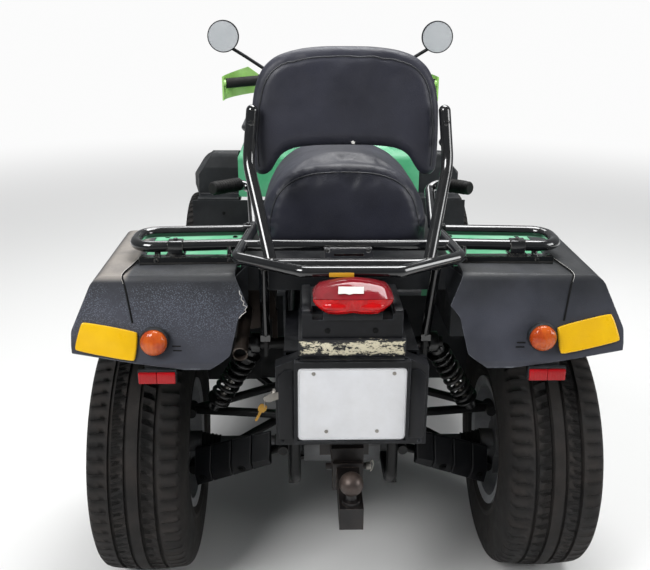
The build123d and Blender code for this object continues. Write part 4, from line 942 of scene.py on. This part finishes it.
markerLook = {"indicator_left": (411, 738, 30), "indicator_right": (408, 744, 30),
              "reflector_left": (368, 450, 642, 670), "reflector_right": (384, 466, 644, 672),
              "pad_left": ((564, 776), (445, 754), (452, 693), (580, 717)),
              "pad_right": ((560, 788), (441, 760), (449, 702), (580, 730))}
for tag, side in sides.items():
    x, z, radius = markerLook[f"indicator_{tag}"]
    base = turned((side * x, -1012, z), (0, -1, 0))
    shape = bmesh.new()
    addLathe(shape, [(0, -4), (radius + 1, -4), (radius + 1, 7), (radius - 0.5, 9), (radius - 1.6, 9),
                     (radius - 1.6, 4), (0, 4)], base)
    addRod(shape, (side * x, -1006, z - 8), (side * x, -980, z - 8), 12)
    finishPiece(shape, f"indicatorRing_{tag}", "bodyBlack", replaces=("rear_markers",) if side < 0 else ())
    shape = bmesh.new()
    profile = [(0, 5), (radius - 1.8, 5), (radius - 1.8, 13)]
    for step in range(1, 10):
        angle = pi / 2 * step / 9
        ripple = 0.7 if step % 2 else 0.0
        profile.append(((radius - 1.8) * cos(angle) + 0.01, 13 + (15 - ripple) * sin(angle)))
    profile[-1] = (0, 28)
    addLathe(shape, profile, base)
    finishPiece(shape, f"indicatorLens_{tag}", "lensAmber", sharp=60)
    shape = bmesh.new()
    x0, x1, z0, z1 = markerLook[f"reflector_{tag}"]
    addBox(shape, (side * x0, -1020, z0), (side * x1, -1009, z1 + 3), edge=2)
    addBox(shape, (side * (x0 + 14), -1011, z1), (side * (x1 - 14), -1002, z1 + 26), edge=1)
    finishPiece(shape, f"reflectorBack_{tag}", "bodyBlack")
    shape = bmesh.new()
    middle = (x0 + x1) / 2
    for low, high in ((x0 + 2, middle - 0.4), (middle + 0.4, x1 - 2)):
        addBox(shape, (side * low, -1026, z0 + 2), (side * high, -1019, z1 - 1), edge=1.6)
        for rib in range(6):
            ribX = low + 4 + (high - low - 8) * rib / 5
            addBox(shape, (side * (ribX - 0.8), -1026.6, z0 + 4), (side * (ribX + 0.8), -1025.4, z1 - 3))
    finishPiece(shape, f"reflector_{tag}", "markerRed")
    shape = bmesh.new()
    ring = smoothLine(cutCorners([onFender(side * u, v, 1.0) for u, v in markerLook[f"pad_{tag}"]], 6),
                      times=2)
    middle = onFender(side * 505, 744)
    addLoft(shape, [ring, [p + faceOut * 4.5 for p in ring],
                    [p + faceOut * 6.5 + (middle - p) * 0.03 for p in ring]])
    finishPiece(shape, f"yellowPad_{tag}", "yellowPad", bevel=0.0012)
    # the fold down the fender's outer panel with a painted highlight along its top edge, and small slots
    # beside the indicator
    fold = [Vector((side * 459, -826, 868.6)), Vector((side * 470, -905, 868.6)),
            Vector((side * 481, -962, 867.5)), onFender(side * 474, 850, 0.4), onFender(side * 466, 812, 0.4),
            onFender(side * 458, 772, 0.4)]
    tubeAlong(f"fenderFold_{tag}", smoothLine(fold, closed=False), 1.9, "darkRecess")
    # painted highlight: a thin pale line along the fold's top edge, beside the dark fold line
    paleEdge = [p + Vector((side * 2.4, 0, 0.5)) for p in smoothLine(fold[:4], closed=False)]
    tubeAlong(f"foldEdge_{tag}", paleEdge, 0.5, "stickerWhite", around=2)
    # painted shade: the slots are thin near-black rods on the surface
    shape = bmesh.new()
    for number in range(2):
        at = onFender(side * (366 - 2 * number), 726 - 9 * number, 0.2)
        addRod(shape, at - Vector((9, 0, -2 * side)), at + Vector((9, 0, 2 * side)), 1.4, around=8)
    finishPiece(shape, f"fenderSlots_{tag}", "darkRecess")
torn = [onFender(x, z, 0.4) for x, z in (
    (-233, 836), (-232, 829), (-228, 825), (-229, 818), (-223, 813), (-225, 807), (-217, 803), (-221, 797),
    (-219, 793), (-228, 787), (-234, 780))]
tubeAlong("tornEdge", torn, 0.9, "stickerWhite", around=2)
for tag, side in sides.items():
    shape = bmesh.new()
    heights = (781, 805, 836, 862)
    rear = [onFender(side * (216 + max(0, 805 - z) * 0.84 + max(0, z - 805) * 0.47), z, -3) for z in heights]
    front = [Vector((side * 220, -893, z + 4)) for z in heights]
    lines = []
    for points in (rear, front):
        verts = [shape.verts.new(point) for point in points]
        lines += [shape.edges.new(pair) for pair in zip(verts, verts[1:])]
    flank = bmesh.ops.bridge_loops(shape, edges=lines)["faces"]
    bmesh.ops.recalc_face_normals(shape, faces=flank)
    bmesh.ops.solidify(shape, geom=flank, thickness=2.5)
    addBox(shape, (side * 235.4, -893.4, 694), (side * 300, -890.4, 861))
    addBox(shape, (side * 234, -889, 694), (side * 235.2, -430, 861))
    finishPiece(shape, f"fenderFlank_{tag}", "bodyBlack")
print("markers made")

# Tail box: worn cream strip, screws, ledges beside the bezel, plate, lock, ring and key
boxLook = {
    "strips": {"creamStrip": ((-107.5, -1105.9, 742.6), (107.5, -1104.9, 777.6)),
               "creamStripTop": ((-107.5, -1105.4, 777.4), (107.5, -1098, 778.3))},
    "doorY": -1110, "plateY": -1121.4, "plateThick": 1.2, "plateZ": 643, "rimY": -1122.7,
    "rimShares": (0.972, 0.964), "screws": ((-52, 582), (52, 582), (-78, 712), (84, 712)),
    "lockAt": (-155.2, -1094, 655), "ringRadii": (9, 12), "keyTilt": 26,
}
for name, (low, high) in boxLook["strips"].items():
    shape = bmesh.new()
    addBox(shape, low, high)
    finishPiece(shape, name, "peelingCream")
shape = bmesh.new()
for x in (-50, 46):
    addRod(shape, (x, -1097, 795), (x, -1099.4, 795), 6, around=24, edge=0.6)
    addBolt(shape, (x, -1098.4, 795), (0, -1, 0), 3.6, washer=False)
finishPiece(shape, "lampBlockScrews", "darkRecess")
shape = bmesh.new()
for turn in (-1, 1):
    addPrism(shape, [(turn * 119, 560), (turn * 150, 560), (turn * 150, 702), (turn * 136, 716),
                     (turn * 119, 716)],
             rearPlane(boxLook["doorY"]), 4.2, edge=1.6)
addPrism(shape, [(-104, 741), (104, 741), (110, 728), (-110, 728)], rearPlane(boxLook["doorY"]), 10, edge=1.5)
for x, z in ((-142, 552), (142, 552)):
    addBolt(shape, (x, -1110, z), (0, -1, 0), 4)
finishPiece(shape, "doorLedges", "boxPlastic", "tail_door")
shape = bmesh.new()
plateSide = [(-101, 724), (-107.4, 721.4), (-110, 715), (-110, 571), (-107.4, 564.6), (-101, 562)]
plateOutline = plateSide[-1:] + [(-x, z) for x, z in reversed(plateSide)] + plateSide[:-1]
addPrism(shape, plateOutline, rearPlane(boxLook["plateY"]), boxLook["plateThick"], edge=0.4)
(wide, high), plateZ = boxLook["rimShares"], boxLook["plateZ"]
rim = [Vector((x * wide, boxLook["rimY"], plateZ + (z - plateZ) * high)) for x, z in plateOutline]
finishPiece(shape, "numberPlate", "plateWhite", "tail_door", replaces=("number_plate",))
tubeAlong("plateRim", rim, 1.0, "plateWhite", "tail_door", closed=True, around=3)
shape = bmesh.new()
for x, z in boxLook["screws"]:
    addRod(shape, (x, -1122.4, z), (x, -1123.8, z), 4, around=20, edge=0.5)
finishPiece(shape, "plateScrews", "zincSteel", "tail_door")
shape = bmesh.new()
lockAt = Vector(boxLook["lockAt"])
addRod(shape, lockAt, lockAt + Vector((-7, 0, 0)), 11, 10, around=28, edge=1)
addBox(shape, (-166, -1095.2, 651), (-160, -1092.8, 659))
addPrism(shape, [(-140, 655), (-166, 645), (-178, 646), (-180, 655), (-168, 663), (-148, 668), (-140, 664)],
         rearPlane(-1111.5), 2.4, edge=0.5)
addRod(shape, (-150, -1110.5, 660), (-158, -1098, 656), 2.4, around=12)
finishPiece(shape, "lockAndKey", "zincSteel", "tail_door", replaces=("door_lock",))
ringAngles = [2 * pi * step / 20 for step in range(20)]
deep, tall = boxLook["ringRadii"]
ringPoints = [Vector((-177, -1106 + deep * sin(angle), 643 + tall * cos(angle))) for angle in ringAngles]
tubeAlong("keyRing", ringPoints, 0.9, "zincSteel", "tail_door", closed=True, around=3)
shape = bmesh.new()
hang = Matrix.Translation((-178, -1104, 636)) @ Matrix.Rotation(radians(boxLook["keyTilt"]), 4, "Y")
bow = [(-8, -4), (-5, -1), (5, -1), (8, -4), (9, -12), (6, -19), (-6, -19), (-9, -12)]
upright = hang @ Matrix(((1, 0, 0, 0), (0, 0, -1, 1), (0, 1, 0, 0), (0, 0, 0, 1)))
addPrism(shape, bow, upright, 2.2, edge=0.5)
addPrism(shape, [(-3, -18), (3, -18), (3, -40), (0, -44), (-3, -40), (-1.6, -36), (-3, -32), (-1.6, -28),
                 (-3, -24)], upright, 1.8)
finishPiece(shape, "brassKey", "brass", "tail_door")
print("tail box made")

# Hitch: pin clip, a collar on the receiver and the ball's worn top
hitchLook = {
    "pin": ((44, -965, 402.5), (56, -965, 402.5)), "pinRadius": 9, "wire": 1.6,
    "clip": ((53, -965, 410), (58, -965, 420), (62, -962, 408), (60, -960, 392), (54, -960, 384)),
    "ballAt": (0, -1146, 472), "ballRadius": 25.25,
}
shape = bmesh.new()
addRod(shape, *hitchLook["pin"], hitchLook["pinRadius"], around=24, edge=1)
finishPiece(shape, "hitchPin", "zincSteel")
clip = [Vector(point) for point in hitchLook["clip"]]
tubeAlong("hitchClip", smoothLine(clip, closed=False), hitchLook["wire"], "zincSteel")
shape = bmesh.new()
addBall(shape, hitchLook["ballAt"], hitchLook["ballRadius"], 40, 24)
finishPiece(shape, "ballWear", "rubbedBall")
shape = bmesh.new()
addBox(shape, (-34.5, -1012, 368), (34.5, -1000, 437), edge=3)
addBox(shape, (-25.6, -1013, 377), (25.6, -1011.6, 428))
finishPiece(shape, "receiverCollar", "hitchSteel")

# Racks: bolts, clamps, the small yellow tag, tube ends and the backrest's bolts
shape = bmesh.new()
for tag, side in sides.items():
    for x in (260, 420):
        addBolt(shape, (side * x, -874, 881), (0, 0, 1), 5)
        addBolt(shape, (side * x, -886, 875), (0, -1, 0), 4)
    addBox(shape, (side * 358, -882, 881), (side * 400, -846, 884), edge=1)
    addBox(shape, (side * 362, -876, 883), (side * 396, -848, 914.5), edge=3)
    addBolt(shape, (side * 379, -862, 914.5), (0, 0, 1), 5)
    addBox(shape, (side * 214, -744, 886), (side * 240, -720, 914), edge=3)
    addBolt(shape, (side * 227, -732, 914), (0, 0, 1), 5)
    for z in (1125, 1170):
        addBolt(shape, (side * 207, -856, z), (0, -1, 0), 6)
    addBall(shape, (side * 205, -843, 1194), 12.9, 24)
for x in (-44, 44):
    addBolt(shape, (x, -905, 903), (0, 0, 1), 5)
    addBolt(shape, (x, -975, 903), (0, 0, 1), 5)
finishPiece(shape, "rackBolts", "tubeBlack")
shape = bmesh.new()
for turn in (-1, 1):
    addBox(shape, (turn * 237, -889.5, 862.3), (turn * 456, -861, 870), edge=1.5)
finishPiece(shape, "rackStripPads", "rubber")
shape = bmesh.new()
addBox(shape, (-46, -1055.6, 893), (4, -1053.8, 902), edge=0.4)
finishPiece(shape, "rackTag", "tagYellow")
shape = bmesh.new()
for tag, side in sides.items():
    end = Vector((side * 320, -560, 962))
    inward = Vector((-side * 85, 90, -4)).normalized()
    addRod(shape, end - inward * 6, end - inward * 11, 17.4, 14, around=32, edge=1.5)
    for ring in range(9):
        at = end + inward * (6 + 8 * ring)
        addRod(shape, at, at + inward * 3, 17.9, around=32)
finishPiece(shape, "passengerGripRibs", "rubber")

# Exhaust tip, hollow, with its rolled lip
shape = bmesh.new()
tip = turned((-231, -1005, 712), (-0.012, -0.983, -0.185))
addLathe(shape, [(13.6, -34), (15.4, -34), (15.6, 12), (16.4, 15), (15.4, 16.6), (13.8, 15.6), (13.4, 12),
                 (13.4, -2), (13.6, -34)], tip)
finishPiece(shape, "exhaustTip", "exhaustSteel")
# painted shade: a near-black disc closes the bore inside the tip
shape = bmesh.new()
addRod(shape, tip @ Vector((0, 0, 0.2)), tip @ Vector((0, 0, 0.9)), 13.6, around=32)
finishPiece(shape, "exhaustBore", "darkRecess")
print("racks and exhaust dressed")

# Handlebar controls: switch blocks, perches, levers and the grips' ribs
barLook = {"end": (359, 353, 1130), "bend": (230, 395, 1138), "stem": (95, 476.6, 1082),
           "levers": (42, 129, 0), "ringCount": 12, "ringStep": 8.5, "ringWidth": 3.4, "ringRadius": 17.8,
           "leverRadius": 5.2}
ribs, blocks, levers = bmesh.new(), bmesh.new(), bmesh.new()
for tag, side in sides.items():
    end, bend = atSide(side, barLook["end"]), atSide(side, barLook["bend"])
    inward = (bend - end).normalized()
    downBar = (atSide(side, barLook["stem"]) - bend).normalized()
    forward = atSide(side, barLook["levers"]).normalized()
    for ring in range(barLook["ringCount"]):
        at = end + inward * (4 + barLook["ringStep"] * ring)
        addRod(ribs, at, at + inward * barLook["ringWidth"], barLook["ringRadius"], around=28)
    addBox(blocks, (-21, -19, -12), (21, 19, 12), edge=5, segments=3,
           place=turned(end + inward * 124, inward))
    addRod(blocks, bend + downBar * 8, bend + downBar * 28, 17, around=28, edge=2)
    perch = bend + downBar * 18
    addBox(blocks, (-8, -34, -9), (10, -10, 9), edge=3, place=turned(perch, downBar))
    lever = [perch + forward * 30, bend + forward * 50, end + inward * 70 + forward * 50,
             end + inward * 18 + forward * 44 - Vector((0, 0, 4))]
    tubeAlong(f"brakeLever_{tag}", smoothLine(lever, closed=False), barLook["leverRadius"], "tubeBlack",
              "steering")
    addBall(levers, lever[-1], 8, 20)
    if side > 0:
        addBox(blocks, (-4, -26, 14), (30, 12, 40), edge=4, place=turned(perch, downBar))
    addRod(blocks, (side * 40, 470, 1093), (side * 40, 470, 1099), 7, around=6, edge=0.8)
    addRod(blocks, (side * 28, 424, 1110), (side * 28, 418, 1122), 6, around=6, edge=0.8)
for number, tint in enumerate(("markerRed", "tagYellow")):
    button = bmesh.new()
    at = Vector((-250 + 16 * number, 388.5 + 5 * number, 1137 + number))
    addRod(button, at + Vector((0, -16, 10)), at + Vector((0, -25, 13)), 4.5, 4, around=20, edge=0.7)
    finishPiece(button, f"switchButton{number}", tint, "steering")
finishPiece(ribs, "gripRibs", "rubber", "steering")
finishPiece(blocks, "barControls", "boxPlastic", "steering")
finishPiece(levers, "leverEnds", "tubeBlack", "steering", sharp=80)

# Mirrors: glass in a raised rim, and a domed back
mirrorLook = {
    "at": (376, 392, 1286), "glass": [(0, 1.0), (51.4, 0.7), (51.4, -1), (0, -1)],
    "rim": [(51.2, -1), (51.2, 0.6), (52.5, 2), (54.6, 1.6), (54.9, -4), (51.2, -4), (51.2, -1)],
    "back": [(54.6, -10), (50, -17), (40, -24), (26, -29), (0, -31)],
}
for tag, side in sides.items():
    shape = bmesh.new()
    face = turned(atSide(side, mirrorLook["at"]), (0, -1, 0))
    addLathe(shape, mirrorLook["rim"], face, around=64)
    addLathe(shape, mirrorLook["back"], face, around=64)
    finishPiece(shape, f"mirrorRim_{tag}", "boxPlastic", "steering", sharp=40)
    shape = bmesh.new()
    addLathe(shape, mirrorLook["glass"], face, around=64)
    finishPiece(shape, f"mirrorGlass_{tag}", "mirrorGlass", "steering")
print("handlebar dressed")

# Instruments: dark screen in a bezel, with the ignition switch
# low, high, edge, look
dashLook = {
    "instrumentBezel": ((-52, 470, 1147.5), (52, 530, 1150), 1, "boxPlastic"),
    "instrumentScreen": ((-46, 476, 1149.6), (46, 524, 1150.6), 0, "tubeBlack"),
}
for name, (low, high, edge, look) in dashLook.items():
    shape = bmesh.new()
    addBox(shape, low, high, edge=edge)
    finishPiece(shape, name, look, "steering")
shape = bmesh.new()
addRod(shape, (0, 452, 1138), (0, 448, 1152), 11, around=28, edge=1)
addBox(shape, (-1.4, 444, 1148), (1.4, 452, 1160), edge=0.4)
finishPiece(shape, "ignitionSwitch", "zincSteel", "steering")

# Nose: reflectors behind the lenses, a near-black sheet behind the grille as painted shade, front rack bolts
noseLook = {
    "lamp": [(64, 706), (64, 750), (130, 775), (193, 762), (184, 724), (150, 706)],
    "cups": ((100, 730), (152, 740)), "grille": [(-150, 575), (150, 575), (176, 690), (-176, 690)],
    "cup": [(19, 22), (17, 22), (14, 12), (7, 5), (0, 3), (0, 0), (19, 0), (19, 22)],
}
for tag, side in sides.items():
    shape = bmesh.new()
    addPrism(shape, [(side * u, v) for u, v in noseLook["lamp"]], rearPlane(1092), 3)
    for x, z in noseLook["cups"]:
        cup = turned((side * x, 1089, z), (0, 1, 0))
        addLathe(shape, noseLook["cup"], cup, around=40)
    finishPiece(shape, f"lampReflector_{tag}", "mirrorGlass")
# painted shade: a near-black sheet fills the space behind the grille
shape = bmesh.new()
addPrism(shape, noseLook["grille"], rearPlane(1112), 3)
finishPiece(shape, "grilleShadeSheet", "darkRecess")
shape = bmesh.new()
for x in (-150, 150):
    for y in (780, 920):
        addRod(shape, (x, y, 890.4), (x, y, 894), 20, around=28, edge=1)
for turn in (-1, 1):
    addBolt(shape, (turn * 210, 1145, 780), (0, -1, 0), 5)
    addBolt(shape, (turn * 120, 1108, 470), (0, 0, 1), 6)
finishPiece(shape, "frontRackFeet", "tubeBlack")
print("front dressed")

# Fasteners on the bodywork
shape = bmesh.new()
for tag, side in sides.items():
    for x, y in ((430, -660), (265, -660), (200, -850)):
        addBolt(shape, (side * x, y, 862), (0, 0, 1), 4.5)
    for x in (200, 300, 400):
        addBolt(shape, (side * x, 430, 640), (0, -1, 0), 4.5)
    addBolt(shape, (side * 156, -250, 660), (side, 0, 0), 4.5)
    addBolt(shape, (side * 156, 60, 690), (side, 0, 0), 4.5)
finishPiece(shape, "bodyFasteners", "darkRecess")
print("fasteners made")

# Stage: a pale floor that fades to white where the camera sees it, and soft lamps
def seenAt(tree):
    rays = addNode(tree, "ShaderNodeLightPath")
    return calc(tree, "MAXIMUM", rays.outputs["Is Camera Ray"], rays.outputs["Is Transmission Ray"])


stageLook = {"floor": "#D9D9D8", "white": 0.97, "fadeFrom": 2.2, "fadeTo": 6.5, "floorRadius": 60,
             "sky": (0.80, 0.82, 0.85, 1.0), "skyStrength": 0.28, "aim": (0, -0.2, 0.6)}
shape = bmesh.new()
bmesh.ops.create_circle(shape, cap_ends=True, cap_tris=False, radius=stageLook["floorRadius"], segments=96)
floor = enterScene("floor", toMesh(shape, "floor"))
floorFinish, tree, shader = newMaterial("floorFinish")
feed(tree, shader, {"Base Color": colour(stageLook["floor"]), "Roughness": 0.85})
whiteTone = (stageLook["white"],) * 3 + (1.0,)
white = addNode(tree, "ShaderNodeEmission", {"Color": whiteTone, "Strength": 1.0})
distance = addNode(tree, "ShaderNodeVectorMath", {0: placeOf(tree)}, operation="LENGTH").outputs["Value"]
fade = between(tree, distance, stageLook["fadeFrom"], stageLook["fadeTo"])
blend = addNode(tree, "ShaderNodeMixShader",
                {0: times(tree, fade, seenAt(tree)), 1: shader.outputs[0], 2: white.outputs[0]})
feed(tree, tree.nodes["Material Output"], {"Surface": blend.outputs[0]})
floor.data.materials.append(floorFinish)

world = bpy.data.worlds.new("studio")
scene.world = world
world.use_nodes = True
tree = world.node_tree
lit = tree.nodes["Background"]
feed(tree, lit, {"Color": stageLook["sky"], "Strength": stageLook["skyStrength"]})
shown = addNode(tree, "ShaderNodeBackground", {"Color": whiteTone, "Strength": 1.0})
blend = addNode(tree, "ShaderNodeMixShader", {0: seenAt(tree), 1: lit.outputs[0], 2: shown.outputs[0]})
feed(tree, tree.nodes["World Output"], {"Surface": blend.outputs[0]})

# place, width, power
lamps = {
    "keyLamp": ((-2.4, -3.2, 3.4), 1.8, 165),
    "topLamp": ((0.6, 0.4, 4.4), 2.2, 180),
    "fillLamp": ((3.6, -2.2, 2.0), 1.8, 70),
    "backLamp": ((-1.0, 3.2, 5.0), 2.2, 80),
}
for name, (at, width, power) in lamps.items():
    lampData = bpy.data.lights.new(name, "AREA")
    lampData.size, lampData.energy = width, power
    lamp = enterScene(name, lampData)
    lamp.location = at
    lamp.rotation_euler = (Vector(stageLook["aim"]) - Vector(at)).to_track_quat("-Z", "Y").to_euler()
print("stage and lamps made")
